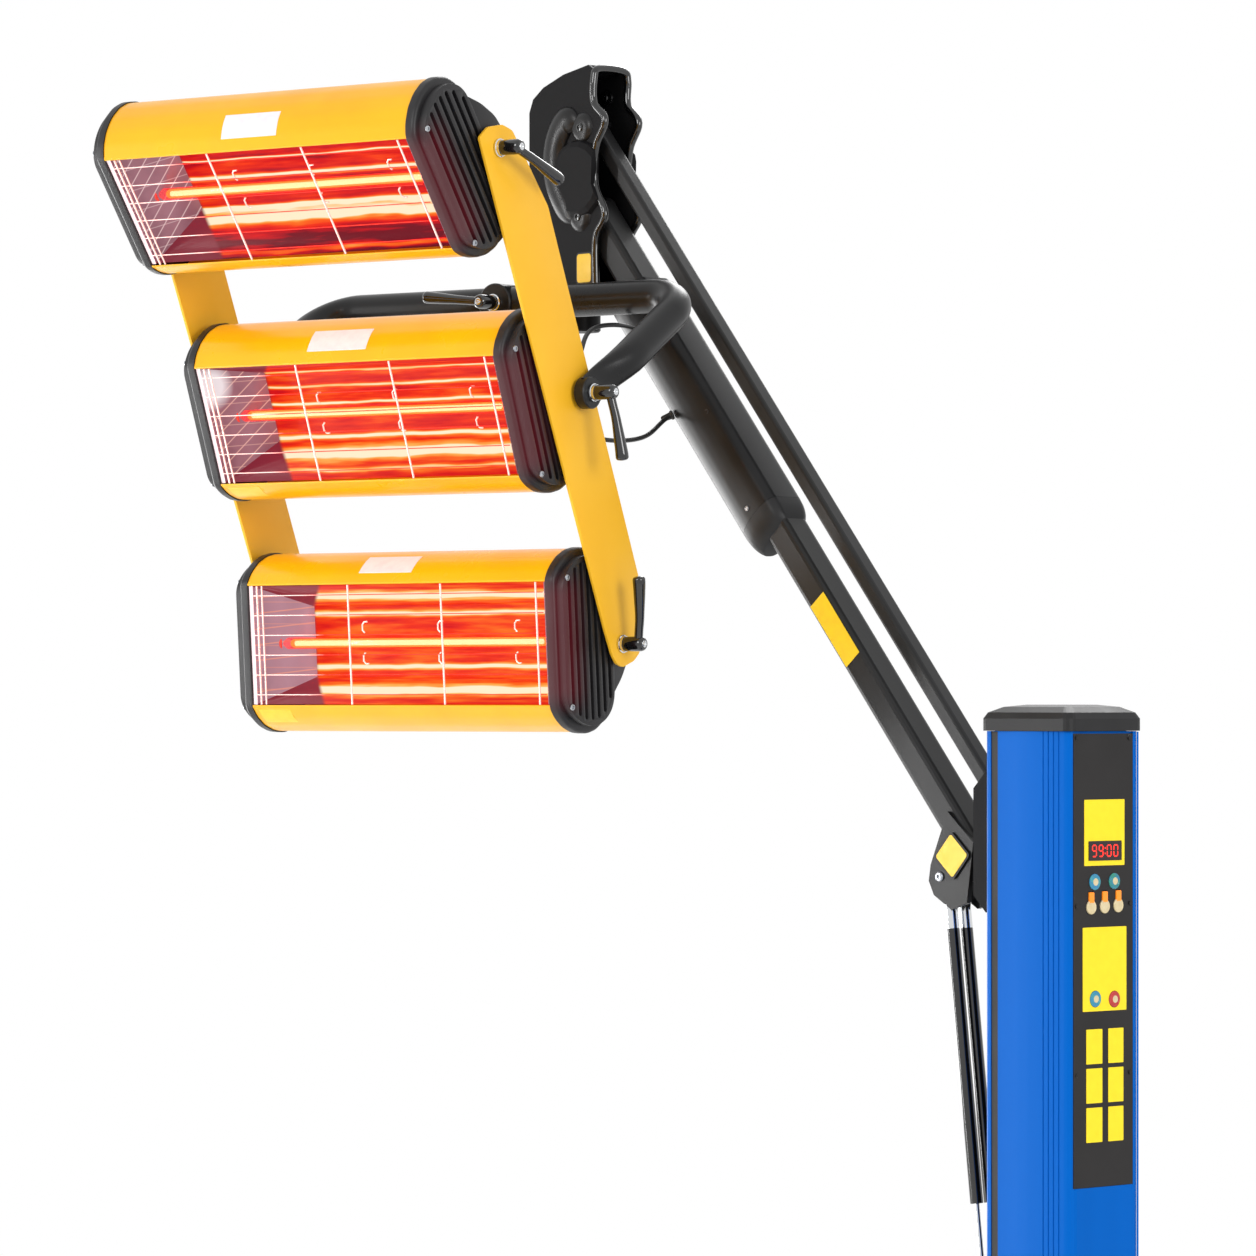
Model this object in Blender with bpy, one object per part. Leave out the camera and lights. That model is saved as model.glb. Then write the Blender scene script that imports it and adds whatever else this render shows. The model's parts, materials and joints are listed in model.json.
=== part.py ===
import math

import bmesh
import bpy
from mathutils import Matrix, Vector

# Driving dimensions, in metres. The column stands at X 0, Y 0, the arm reaches towards -X, the panel faces +X and
# the lamps face roughly -Y.

# Column
COLUMN_HALF_X = 0.0533
COLUMN_HALF_Y = 0.0477
COLUMN_BOTTOM = 0.1150
COLUMN_TOP = 1.1500
COLUMN_WALL = 0.0030
COLUMN_CORNER = 0.0080
COLUMN_CORNER_STEPS = 4
FACE_BOW = 0.0016
FACE_BOW_X = (-0.0240, -0.0100, 0.0020, 0.0130)
STRIP_X = (-0.0440, -0.0348)
STRIP_DEPTH = 0.0014
RIB_GROOVES_X = (0.0210, 0.0270, 0.0330, 0.0390)
RIB_GROOVE_HALF = 0.0007
RIB_GROOVE_DEPTH = 0.0012
CAP_OVERHANG = 0.0016
CAP_RINGS = ((0.0000, 0.0000), (0.0110, 0.0000), (0.0165, 0.0030), (0.0215, 0.0130), (0.0235, 0.0280))
CAP_PLUG = 0.0100

# Fits
GAP = 0.0003
BORE_PLAY = 0.0003
OVERLAP = 0.0010

# Panel and its controls, as Y, Z and half sizes on the +X face
PANEL_HALF_Y = 0.0390
PANEL_MID_Y = -0.0028
PANEL_LOW = 0.7430
PANEL_HIGH = 1.1480
PANEL_THICK = 0.0020
PANEL_SCREWS_YZ = (
    (-0.0385, 1.1440), (0.0315, 1.1440), (-0.0385, 0.9940), (0.0325, 0.9955), (-0.0375, 0.8435),
    (0.0325, 0.8435),
)
SCREW_HEAD_RADIUS = 0.0020
SCREW_HEAD_HEIGHT = 0.0010
DISPLAY_YZ = (-0.0013, 1.0432)
DISPLAY_HALF = (0.0220, 0.0087)
DISPLAY_THICK = 0.0030
BUTTON_RADIUS = 0.0072
BUTTON_PROUD = 0.0016
BUTTON_ROOT = 0.0052
ROUND_BUTTONS_YZ = (
    ("button_select", -0.0147, 1.0155),
    ("button_mode", 0.0113, 1.0158),
    ("button_stop", -0.0140, 0.9110),
    ("button_start", 0.0113, 0.9100),
)
BULB_BUTTONS_YZ = (
    ("button_lamp_1", -0.0193, 0.9930),
    ("button_lamp_2", -0.0014, 0.9935),
    ("button_lamp_3", 0.0167, 0.9940),
)
BULB_RADIUS = 0.0064
BULB_NECK_HALF = 0.0033
BULB_NECK_TOP = 0.0135
BOARD_HALF_Y = 0.0330
BOARD_THICK = 0.0016
BOARD_LOW = 0.8300
BOARD_HIGH = 1.1000
BOARD_SETBACK = 0.0120
BOARD_PARTS = (
    (-0.0150, 1.0432, 0.0080, 0.0200), (0.0150, 0.9400, 0.0100, 0.0300), (-0.0100, 0.8800, 0.0140, 0.0180)
)
BOARD_PART_HEIGHT = 0.0090
BOARD_POST_RADIUS = 0.0030
BOARD_POSTS_YZ = ((-0.0280, 0.8400), (0.0280, 0.8400), (-0.0280, 1.0900), (0.0280, 1.0900))
GLAND_Z = 0.2000
GLAND_RADIUS = 0.0100
GLAND_LENGTH = 0.0220
GLAND_STEM_RADIUS = 0.0070

# Base
HUB_HALF = 0.0750
HUB_LOW = 0.0900
HUB_THICK = 0.0247
LEG_HALF_WIDTH = 0.0200
LEG_LOW = 0.0840
LEG_HIGH = 0.1100
FRONT_LEG_TIP = (-0.4700, 0.3300)
REAR_LEG_TIP = (0.3300, 0.3000)
CASTER_RADIUS = 0.0370
CASTER_HALF_WIDTH = 0.0120
CASTER_TRAIL = 0.0250
CASTER_CORNER = 0.0050
FORK_WALL = 0.0030
FORK_SIDE = 0.0030
FORK_HALF_LENGTH = 0.0160
FORK_TOP = 0.0818
FORK_PLATE = 0.0040
FORK_STEM_RADIUS = 0.0060
FORK_STEM_TOP = 0.1020
AXLE_RADIUS = 0.0045
FORK_NOSE_RADIUS = 0.0090

# Arm: the pivots lie in the plane Y 0
ARM_FOOT = (-0.0750, 1.0077)
ARM_HEAD = (-0.6163, 1.6580)
LINK_FOOT = (-0.0800, 1.0948)
LINK_HEAD = (-0.6213, 1.7451)
TUBE_HALF = 0.0150
TUBE_HALF_Y = 0.0160
LINK_HALF = 0.0080
LINK_HALF_Y = 0.0090
TUBE_CORNER = 0.0055
LINK_CORNER = 0.0035
PIN_RADIUS = 0.0040
COVER_LENGTH = 0.2840
COVER_KNUCKLE_CLEARANCE = 0.0034
COVER_OUTER = (
    (0.0165, 0.0195),
    (0.0235, 0.0140),
    (0.0250, 0.0000),
    (0.0250, -0.0170),
    (0.0230, -0.0280),
    (0.0170, -0.0360),
    (0.0080, -0.0405),
)
COVER_INNER = (
    (0.0155, 0.0153),
    (0.0163, 0.0145),
    (0.0163, -0.0050),
    (0.0225, -0.0180),
    (0.0205, -0.0265),
    (0.0150, -0.0340),
    (0.0070, -0.0380),
)
NOSE_RINGS = ((0.0000, 1.000), (0.0080, 0.985), (0.0160, 0.920), (0.0230, 0.780), (0.0270, 0.600))
NOSE_CHANNEL = (0.0163, 0.0153)
LUG_CHANNEL_SPAN = (0.0200, 0.1200)
LUG_CHANNEL_DROP = 0.0450
LUG_OUTLINE = (
    (-0.0985, 0.9925), (-0.1180, 0.9860), (-0.1400, 0.9990), (-0.1465, 1.0120), (-0.1440, 1.0270),
    (-0.1230, 1.0760), (-0.0905, 1.0480),
)
LUG_Y = (0.0163, 0.0200)
LUG_ROOT_Y = 0.0150
BADGE_CENTRE = (-0.1155, 1.0355)
BADGE_HALF = 0.0135
BADGE_THICK = 0.0015
BADGE_TURN_DEGREES = 42.0

# Gas struts
STRUT_TOP = (-0.1320, 1.0160)
STRUT_FOOT = (-0.0860, 0.6330)
STRUT_Y = 0.0090
STRUT_RADIUS = 0.0060
STRUT_BORE = 0.0054
ROD_RADIUS = 0.0025
STRUT_EYE_RADIUS = 0.0070
STRUT_EYE_HALF = 0.0045
STRUT_BODY_SPAN = (0.0120, 0.3000)
STRUT_BORE_START = 0.0600
ROD_START = 0.1500

# Rear bracket on the column
BRACKET_PLATE = 0.0040
BRACKET_HALF_Y = 0.0250
BRACKET_LOW = 0.6050
BRACKET_HIGH = 1.1200
CHEEK_Y = (0.0206, 0.0242)
ARM_CHEEK = (0.9850, 1.1130)
STRUT_CHEEK = (0.6160, 0.6560)
CHEEK_REACH = 0.0090
ARM_CHEEK_SHARE = 0.70
CHEEK_CORNER_SHARE = 0.12

# Knuckle
KNUCKLE_OUTLINE = (
    (-0.6895, 1.5790),
    (-0.5920, 1.5790),
    (-0.5918, 1.6297),
    (-0.5788, 1.6523),
    (-0.5932, 1.6816),
    (-0.5918, 1.7187),
    (-0.5788, 1.7441),
    (-0.5946, 1.7629),
    (-0.5946, 1.7942),
    (-0.6033, 1.7998),
    (-0.6396, 1.7931),
    (-0.6689, 1.7826),
    (-0.6840, 1.7720),
    (-0.6895, 1.7590),
)
KNUCKLE_FLOOR = (1.5790, 1.5830)
KNUCKLE_FLOOR_END = -0.6060
KNUCKLE_Y = (0.0205, 0.0240)
KNUCKLE_WALL = 0.0035
KNUCKLE_WALL_COUNT = 5
DISH_CENTRE = (-0.6178, 1.6882)
DISH_RADIUS = 0.0400
DISH_HEIGHT = 0.0060
DISH_SHARES = (1.0, 0.93, 0.80, 0.45)
DISH_HEIGHT_SHARES = (0.0, 0.70, 1.0, 1.0)
BOLT_XZ = ((-0.6120, 1.7388), (-0.6149, 1.6517))
BOLT_RADIUS = 0.0050
BOLT_PROUD = 0.0015
TIE_RADIUS = 0.0040
TIES_XZ = ((-0.6820, 1.6200), (-0.6000, 1.7860))
SWIVEL_RADIUS = 0.0200
SWIVEL_HEIGHT = 0.0380
SWIVEL_STEM_RADIUS = 0.0080
SWIVEL_STEM_TOP = 1.6000
SPINDLE_RADIUS = 0.0120
SPINDLE_TIP_RADIUS = 0.0080

# Head: local x along the lamps, y backwards, z up from the height of the middle pivots
HEAD_ORIGIN = (-0.5848, -0.2668, 1.4616)
HEAD_TURN_DEGREES = 11.9
SWIVEL_BACK = 0.2728
YOKE_BACK = 0.1470
YOKE_RISE = 0.0998
YOKE_RADIUS = 0.0160
YOKE_SIDES = 12
YOKE_ARM_X = 0.2170
YOKE_EYE_X = 0.2085
YOKE_EYE_HALF_X = 0.0060
YOKE_EYE_HALF = 0.0150
YOKE_FLAT_START = 0.0070
YOKE_FLAT_START_HALF = 0.0130
YOKE_FLAT_HALF_X = 0.0054
YOKE_FLAT_END = 0.0140
YOKE_SWELL_END = 0.0450
YOKE_ROUND_START = 0.0700
YOKE_SWELL_SHARE = 0.80
YOKE_BEND = 0.0420
YOKE_BEND_STEPS = 4
YOKE_HUB_RADIUS = 0.0190
YOKE_HUB_FRONT_PROUD = 0.0020
YOKE_HUB_BACK_PROUD = 0.0030
YOKE_HUB_SPAN = (
    YOKE_BACK - YOKE_RADIUS - YOKE_HUB_FRONT_PROUD, YOKE_BACK + YOKE_RADIUS + YOKE_HUB_BACK_PROUD
)
MIDDLE_PIVOT = (-0.0080, 0.0000)
TOP_PIVOT = (-0.1343, 0.2162)
BOTTOM_PIVOT = (0.0594, -0.2313)
PLATE_OUTLINE = (
    (-0.1630, 0.2235),
    (0.0330, -0.2180),
    (0.0448, -0.2416),
    (0.0520, -0.2500),
    (0.0620, -0.2530),
    (0.0800, -0.2470),
    (0.0895, -0.2390),
    (0.0904, -0.1747),
    (-0.0576, 0.1691),
    (-0.1130, 0.2340),
    (-0.1280, 0.2380),
    (-0.1500, 0.2340),
)
PLATE_X = (0.1965, 0.1995)

# Cassette: local y backwards and z up from its pivot; the window plane lies in front of it
WINDOW_DEPTH = 0.0860
WINDOW_RISE = 0.0060
WINDOW_HALF = 0.0590
CASSETTE_TILTS_DEGREES = {"top": 36.0, "middle": 20.0, "bottom": 4.0}
SHELL_HALF_LENGTH = 0.1760
SHELL_HALF_OUTLINE = (
    (0.0000, 0.0590),
    (0.0070, 0.0690),
    (0.0180, 0.0780),
    (0.0320, 0.0840),
    (0.0470, 0.0860),
    (0.0610, 0.0835),
    (0.0740, 0.0760),
    (0.0820, 0.0650),
    (0.0850, 0.0500),
)
SHELL_BACK = SHELL_HALF_OUTLINE[-1][0]
SHELL_WALL = 0.0016
LIP_REACH_SHARE = 0.40
LIP_TURN_SHARE = 0.80
TRAY_RINGS = (
    (0.1725, 0.0565, 0.0030),
    (0.1640, 0.0520, 0.0180),
    (0.1550, 0.0420, 0.0350),
    (0.1470, 0.0280, 0.0500),
    (0.1420, 0.0120, 0.0590),
)
TRAY_SHEET = 0.0012
LAMP_DEPTH = 0.0320
LAMP_RADIUS = 0.0055
LAMP_HALF_LENGTH = 0.1580
LAMP_END_RADIUS = 0.0070
LAMP_END_HALF = 0.1740
LAMP_TIP_SHARE = 0.90
LAMP_END_SHARES = (0.10, 0.40, 0.50)
GUARD_WIRE_HALF = 0.0010
GUARD_BARS_X = (-0.1650, -0.0550, 0.0550, 0.1650)
GUARD_ROWS_Z = (-0.0475, -0.0285, -0.0095, 0.0095, 0.0285, 0.0475)
GUARD_HALF_X = 0.1725
GUARD_HALF_Z = 0.0573
END_RINGS = ((0.0000, 0.0012), (0.0062, 0.0012), (0.0100, -0.0040))
PAD_HALF_Z = 0.0660
PAD_DEPTHS = (0.0120, 0.0800)
PAD_PROUD = 0.0072
PAD_CORNER_STEPS = 3
GROOVE_HALF_WIDTH = 0.0022
GROOVE_DEPTH = 0.0050
GROOVE_DEPTHS = (0.0215, 0.0300, 0.0385, 0.0470, 0.0555, 0.0640, 0.0725)
GROOVE_HALF_LENGTHS = (0.0540, 0.0600, 0.0620, 0.0620, 0.0600, 0.0560, 0.0480)
WEDGE_OUTLINE = (
    (0.0780, 0.0560), (0.0780, -0.0560), (0.0960, -0.0380), (0.1080, -0.0200), (0.1110, 0.0000),
    (0.1080, 0.0160), (0.0960, 0.0360),
)
WEDGE_X = (0.1800, 0.1915)
BOSS_RADIUS = 0.0120
STUD_RADIUS = 0.0040
STUD_DEPTH = 0.0120

# Clamp levers: local z is the stud axis, local x the handle
LEVER_HUB_RADIUS = 0.0070
LEVER_HUB_LENGTH = 0.0260
LEVER_FOOT_RADIUS = 0.0085
LEVER_FOOT_LENGTH = 0.0050
LEVER_TIP_RADIUS = 0.0050
LEVER_LENGTH = 0.0640
LEVER_RISE = 0.0080
LEVER_ROOT_HALF = 0.0045
LEVER_END_HALF = 0.0062
LEVER_ROOT_SHARE = 0.72
LEVER_NECK_SHARE = 0.35
LEVER_SWELL_SHARE = 0.93
ROLL_LEVER_LEAN_SHARE = 0.10
ROLL_STUD_SHARE = 0.80
LEVER_TURNS_DEGREES = {"top": 205.0, "bottom": 80.0, "yoke_right": 262.0, "yoke_left": 175.0}

# Leads
LEAD_RADIUS = 0.0022
LEAD_LOWER_UP = 0.1500
LEAD_LOWER_EXIT = (-0.0200, -0.0320)
LEAD_LOWER_LEAVES = (0.0, -0.8, -0.6)
LEAD_LOWER_ROUTE = (
    (0.1600, 0.1650, -0.0320),
    (0.1740, 0.1220, -0.0370),
    (0.1740, 0.0800, -0.0420),
    (0.1640, 0.0400, -0.0360),
)
LEAD_LOWER_END = (0.1500, -0.0300)
LEAD_UPPER_UP = 0.2340
LEAD_UPPER_EXIT = (-0.0250, -0.0080)
LEAD_UPPER_LEAVES = (0.0, -1.0, 0.0)
LEAD_UPPER_ROUTE = (
    (0.1510, 0.1500, 0.0740), (0.1400, 0.1100, 0.0730), (0.1420, 0.0800, 0.0660), (0.1540, 0.0600, 0.0440),
    (0.1600, 0.0420, 0.0240),
)
LEAD_UPPER_END = (0.1450, 0.0060)
LEAD_STRAIGHT = 0.0120
LEAD_SEAT = 0.0006
LEAD_POINT_COUNT = 24

SIDES_LARGE = 18
SIDES_MEDIUM = 12
SIDES_SMALL = 8
CREASE_DEGREES = 30.0
SOFT_CREASE_DEGREES = 40.0

COLOURS = {
    "blue": (0.010, 0.090, 0.560, 1.0),
    "yellow": (0.900, 0.430, 0.015, 1.0),
    "black": (0.012, 0.012, 0.013, 1.0),
    "steel": (0.420, 0.420, 0.430, 1.0),
    "mirror": (0.700, 0.560, 0.620, 1.0),
    "ruby": (0.800, 0.030, 0.020, 1.0),
    "green": (0.020, 0.150, 0.050, 1.0),
    "white": (0.600, 0.700, 0.750, 1.0),
    "rubber": (0.030, 0.030, 0.030, 1.0),
}
METALS = ("steel", "mirror")

HALF_SHARE = 0.5
MERGE_SHARE = 0.01
TUBE_END_SHARE = 0.999
GLAND_BODY_SHARE = 0.60
FULL_TURN = 2.0 * math.pi


def clear_scene():
    for old in list(bpy.data.objects):
        bpy.data.objects.remove(old, do_unlink=True)


def material(colour):
    found = bpy.data.materials.get(colour)
    if found:
        return found
    made = bpy.data.materials.new(colour)
    made.use_nodes = True
    shader = made.node_tree.nodes["Principled BSDF"]
    shader.inputs["Base Color"].default_value = COLOURS[colour]
    shader.inputs["Metallic"].default_value = float(colour in METALS)
    return made


def solid(name, points, faces, colour="black", frame=None):
    mesh = bpy.data.meshes.new(name)
    mesh.from_pydata([tuple(point) for point in points], [], faces)
    shape = bmesh.new()
    shape.from_mesh(mesh)
    bmesh.ops.remove_doubles(shape, verts=shape.verts, dist=OVERLAP * MERGE_SHARE)
    bmesh.ops.recalc_face_normals(shape, faces=shape.faces)
    if frame is not None:
        shape.transform(frame)
    shape.to_mesh(mesh)
    shape.free()
    made = bpy.data.objects.new(name, mesh)
    bpy.context.scene.collection.objects.link(made)
    mesh.materials.append(material(colour))
    return made


def loft(name, rings, colour="black", frame=None):
    """A closed body through rings of equal point counts, capped at both ends."""
    count = len(rings[0])
    points = [point for ring in rings for point in ring]
    faces = [list(range(count))[::-1], [count * (len(rings) - 1) + i for i in range(count)]]
    for row in range(len(rings) - 1):
        for i in range(count):
            j = (i + 1) % count
            low, high = row * count, (row + 1) * count
            faces.append([low + i, low + j, high + j, high + i])
    return solid(name, points, faces, colour, frame)


def prism_x(name, outline_yz, low, high, colour="black", frame=None):
    return loft(name, [[(x, y, z) for y, z in outline_yz] for x in (low, high)], colour, frame)


def prism_y(name, outline_xz, low, high, colour="black", frame=None):
    return loft(name, [[(x, y, z) for x, z in outline_xz] for y in (low, high)], colour, frame)


def prism_z(name, outline_xy, low, high, colour="black", frame=None):
    return loft(name, [[(x, y, z) for x, y in outline_xy] for z in (low, high)], colour, frame)


def box(name, low, high, colour="black", frame=None):
    outline = ((low[0], low[1]), (high[0], low[1]), (high[0], high[1]), (low[0], high[1]))
    return prism_z(name, outline, low[2], high[2], colour, frame)


def mirrored_loop(half):
    return list(half) + [(-a, b) for a, b in half[::-1]]


def sleeve(name, outer, inner, low, high, colour="black", frame=None):
    """An open tube along z between two outlines of equal point counts."""
    count = len(outer)
    points = [(a, b, z) for z in (low, high) for loop in (outer, inner) for a, b in loop]
    faces = []
    for i in range(count):
        j = (i + 1) % count
        faces.append([i, j, 2 * count + j, 2 * count + i])
        faces.append([count + j, count + i, 3 * count + i, 3 * count + j])
        faces.append([j, i, count + i, count + j])
        faces.append([2 * count + i, 2 * count + j, 3 * count + j, 3 * count + i])
    return solid(name, points, faces, colour, frame)


def circle(radius, sides, centre=(0.0, 0.0)):
    turns = [FULL_TURN * i / sides for i in range(sides)]
    return [(centre[0] + radius * math.cos(a), centre[1] + radius * math.sin(a)) for a in turns]


def rounded_rectangle(half_x, half_y, corner, steps):
    points = []
    for quarter, (sx, sy) in enumerate(((1, 1), (-1, 1), (-1, -1), (1, -1))):
        for i in range(steps + 1):
            a = math.radians(90 * quarter + 90 * i / steps)
            points.append(
                (
                    sx * (half_x - corner) + corner * math.cos(a),
                    sy * (half_y - corner) + corner * math.sin(a),
                ),
            )
    return points


def axis_frame(start, along, side=None):
    """A frame at start with local z along the given direction."""
    z = Vector(along).normalized()
    x = Vector(side) if side is not None else z.orthogonal()
    x = (x - z * x.dot(z)).normalized()
    y = z.cross(x)
    return Matrix.Translation(Vector(start)) @ Matrix((x, y, z)).transposed().to_4x4()


def turned(name, profile, start, along, sides, colour="black"):
    """A round body from (radius, height) pairs along an axis."""
    rings = [[(x, y, height) for x, y in circle(radius, sides)] for radius, height in profile]
    return loft(name, rings, colour, axis_frame(start, along))


def rod(name, start, end, radius, sides=SIDES_SMALL, colour="black"):
    along = Vector(end) - Vector(start)
    return turned(name, ((radius, 0.0), (radius, along.length)), start, along, sides, colour)


def combine(target, tools, operation):
    for tool in tools:
        step = target.modifiers.new("step", "BOOLEAN")
        step.operation = operation
        step.object = tool
        step.solver = "EXACT"
        bpy.context.view_layer.update()
        evaluated = target.evaluated_get(bpy.context.evaluated_depsgraph_get())
        result = bpy.data.meshes.new_from_object(evaluated)
        target.modifiers.clear()
        target.data = result
        bpy.data.objects.remove(tool, do_unlink=True)
    return target


def cut(target, *tools):
    return combine(target, tools, "DIFFERENCE")


def join(target, *tools):
    return combine(target, tools, "UNION")


def smooth(made, angle=CREASE_DEGREES):
    for face in made.data.polygons:
        face.use_smooth = True
    made.data.set_sharp_from_angle(angle=math.radians(angle))
    return made


def pivoted(made, point):
    """Moves the object's origin onto its joint axis without moving the body."""
    place = Vector(point)
    made.data.transform(Matrix.Translation(-place))
    made.location = place
    return made


def column_outline(grow=0.0):
    half_x, half_y = COLUMN_HALF_X + grow, COLUMN_HALF_Y + grow
    return rounded_rectangle(half_x, half_y, COLUMN_CORNER, COLUMN_CORNER_STEPS)


def face_points():
    """The profile of one side face, as X and the distance in from the widest point, from -X to +X."""
    edge = COLUMN_HALF_X - COLUMN_CORNER
    cuts = [(STRIP_X[0], 0.0), (STRIP_X[0], STRIP_DEPTH), (STRIP_X[1], STRIP_DEPTH), (STRIP_X[1], 0.0)]
    cuts += [(x, 0.0) for x in FACE_BOW_X]
    for x in RIB_GROOVES_X:
        cuts += [(x - RIB_GROOVE_HALF, 0.0), (x, RIB_GROOVE_DEPTH), (x + RIB_GROOVE_HALF, 0.0)]
    return [(x, depth + FACE_BOW * (x / edge) ** 2) for x, depth in cuts]


def profile_outline():
    """The extruded column: rounded corners with a strip, a bow and grooves on the two side faces."""
    steps = COLUMN_CORNER_STEPS + 1
    corners = rounded_rectangle(COLUMN_HALF_X, COLUMN_HALF_Y - FACE_BOW, COLUMN_CORNER, COLUMN_CORNER_STEPS)
    far_face = [(x, COLUMN_HALF_Y - depth) for x, depth in face_points()[::-1]]
    near_face = [(x, depth - COLUMN_HALF_Y) for x, depth in face_points()]
    return corners[:steps] + far_face + corners[steps : steps * 3] + near_face + corners[steps * 3 :]


def make_column():
    column = prism_z("column", profile_outline(), COLUMN_BOTTOM, COLUMN_TOP, "blue")
    inner_half = (COLUMN_HALF_X - COLUMN_WALL, COLUMN_HALF_Y - FACE_BOW - COLUMN_WALL)
    inner = rounded_rectangle(*inner_half, COLUMN_CORNER - COLUMN_WALL, COLUMN_CORNER_STEPS)
    bore = prism_z("bore", inner, COLUMN_BOTTOM - OVERLAP, COLUMN_TOP + OVERLAP)
    opening_half = PANEL_HALF_Y - COLUMN_WALL
    window = box(
        "window",
        (COLUMN_HALF_X - COLUMN_WALL - OVERLAP, PANEL_MID_Y - opening_half, PANEL_LOW + COLUMN_WALL),
        (COLUMN_HALF_X + OVERLAP, PANEL_MID_Y + opening_half, PANEL_HIGH - COLUMN_WALL),
    )
    pocket = box(
        "pocket",
        (COLUMN_HALF_X - PANEL_THICK, PANEL_MID_Y - PANEL_HALF_Y - GAP, PANEL_LOW - GAP),
        (COLUMN_HALF_X + OVERLAP, PANEL_MID_Y + PANEL_HALF_Y + GAP, COLUMN_TOP + OVERLAP),
    )
    hole = rod(
        "hole",
        (COLUMN_HALF_X - GLAND_LENGTH, 0.0, GLAND_Z),
        (COLUMN_HALF_X + OVERLAP, 0.0, GLAND_Z),
        GLAND_STEM_RADIUS + GAP,
        SIDES_MEDIUM,
    )
    cut(column, bore, window, pocket, hole)
    smooth(column)

    rings = []
    for height, inset in CAP_RINGS:
        ring = column_outline(CAP_OVERHANG)
        share_x = 1.0 - inset / COLUMN_HALF_X
        share_y = 1.0 - inset / COLUMN_HALF_Y
        rings.append([(x * share_x, y * share_y, COLUMN_TOP + GAP + height) for x, y in ring])
    cap = loft("column_cap", rings)
    plug_x = COLUMN_HALF_X - COLUMN_WALL - PANEL_THICK - GAP
    plug_y = COLUMN_HALF_Y - COLUMN_WALL - COLUMN_CORNER
    plug = box(
        "plug",
        (-plug_x, -plug_y, COLUMN_TOP - CAP_PLUG),
        (plug_x - COLUMN_WALL, plug_y, COLUMN_TOP + COLUMN_WALL),
    )
    smooth(join(cap, plug))


def bulb_outline(y, z):
    outline = [(y + BULB_NECK_HALF, z + BULB_NECK_TOP), (y - BULB_NECK_HALF, z + BULB_NECK_TOP)]
    start = math.asin(BULB_NECK_HALF / BULB_RADIUS)
    for i in range(SIDES_SMALL + 1):
        a = math.pi / 2 + start + (FULL_TURN - 2 * start) * i / SIDES_SMALL
        outline.append((y + BULB_RADIUS * math.cos(a), z + BULB_RADIUS * math.sin(a)))
    return outline


def grown(outline, centre, amount):
    made = []
    for y, z in outline:
        away = Vector((y - centre[0], z - centre[1]))
        away = away * (1.0 + amount / away.length)
        made.append((centre[0] + away.x, centre[1] + away.y))
    return made


def make_panel():
    back = COLUMN_HALF_X - PANEL_THICK + GAP
    front = COLUMN_HALF_X
    panel = box(
        "control_panel",
        (back, PANEL_MID_Y - PANEL_HALF_Y, PANEL_LOW),
        (front, PANEL_MID_Y + PANEL_HALF_Y, PANEL_HIGH),
    )
    heads = []
    for y, z in PANEL_SCREWS_YZ:
        heads.append(
            rod(
                "head", (front - OVERLAP, y, z), (front + SCREW_HEAD_HEIGHT, y, z), SCREW_HEAD_RADIUS,
                SIDES_SMALL,
            ),
        )
    join(panel, *heads)
    proud = front + BUTTON_PROUD
    root = front - BUTTON_ROOT
    y, z = DISPLAY_YZ
    half_y, half_z = DISPLAY_HALF
    box(
        "display",
        (front - DISPLAY_THICK, y - half_y, z - half_z),
        (front + GAP, y + half_y, z + half_z),
        "ruby",
    )
    holes = [
        box(
            "hole",
            (back - OVERLAP, y - half_y - GAP, z - half_z - GAP),
            (front + OVERLAP, y + half_y + GAP, z + half_z + GAP),
        ),
    ]
    for name, y, z in ROUND_BUTTONS_YZ:
        made = rod(name, (root, y, z), (proud, y, z), BUTTON_RADIUS, SIDES_MEDIUM, "white")
        smooth(pivoted(made, (front, y, z)))
        holes.append(
            rod(
                "hole", (back - OVERLAP, y, z), (front + OVERLAP, y, z), BUTTON_RADIUS + BORE_PLAY,
                SIDES_MEDIUM,
            ),
        )
    for name, y, z in BULB_BUTTONS_YZ:
        outline = bulb_outline(y, z)
        made = prism_x(name, outline, root, proud, "yellow")
        smooth(pivoted(made, (front, y, z)))
        holes.append(
            prism_x("hole", grown(outline, (y, z), BORE_PLAY * 2), back - OVERLAP, front + OVERLAP)
        )
    cut(panel, *holes)

    face = front - BOARD_SETBACK
    board = box(
        "control_board",
        (face - BOARD_THICK, -BOARD_HALF_Y, BOARD_LOW),
        (face, BOARD_HALF_Y, BOARD_HIGH),
        "green",
    )
    parts = []
    for y, z, half_y, half_z in BOARD_PARTS:
        parts.append(
            box(
                "part",
                (face - BOARD_THICK - BOARD_PART_HEIGHT, y - half_y, z - half_z),
                (face - BOARD_THICK + OVERLAP * HALF_SHARE, y + half_y, z + half_z),
            ),
        )
    for y, z in BOARD_POSTS_YZ:
        parts.append(
            rod(
                "post", (face - OVERLAP * HALF_SHARE, y, z), (back - GAP, y, z), BOARD_POST_RADIUS,
                SIDES_SMALL,
            ),
        )
    join(board, *parts)

    out = COLUMN_HALF_X + GAP
    profile = (
        (GLAND_RADIUS, 0.0),
        (GLAND_RADIUS, GLAND_LENGTH * GLAND_BODY_SHARE),
        (GLAND_STEM_RADIUS, GLAND_LENGTH),
    )
    gland = turned("cable_gland", profile, (out, 0.0, GLAND_Z), (1.0, 0.0, 0.0), SIDES_MEDIUM)
    stem = rod(
        "stem",
        (out - COLUMN_WALL - GAP - COLUMN_WALL, 0.0, GLAND_Z),
        (out + OVERLAP, 0.0, GLAND_Z),
        GLAND_STEM_RADIUS,
        SIDES_MEDIUM,
    )
    smooth(join(gland, stem))


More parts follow.
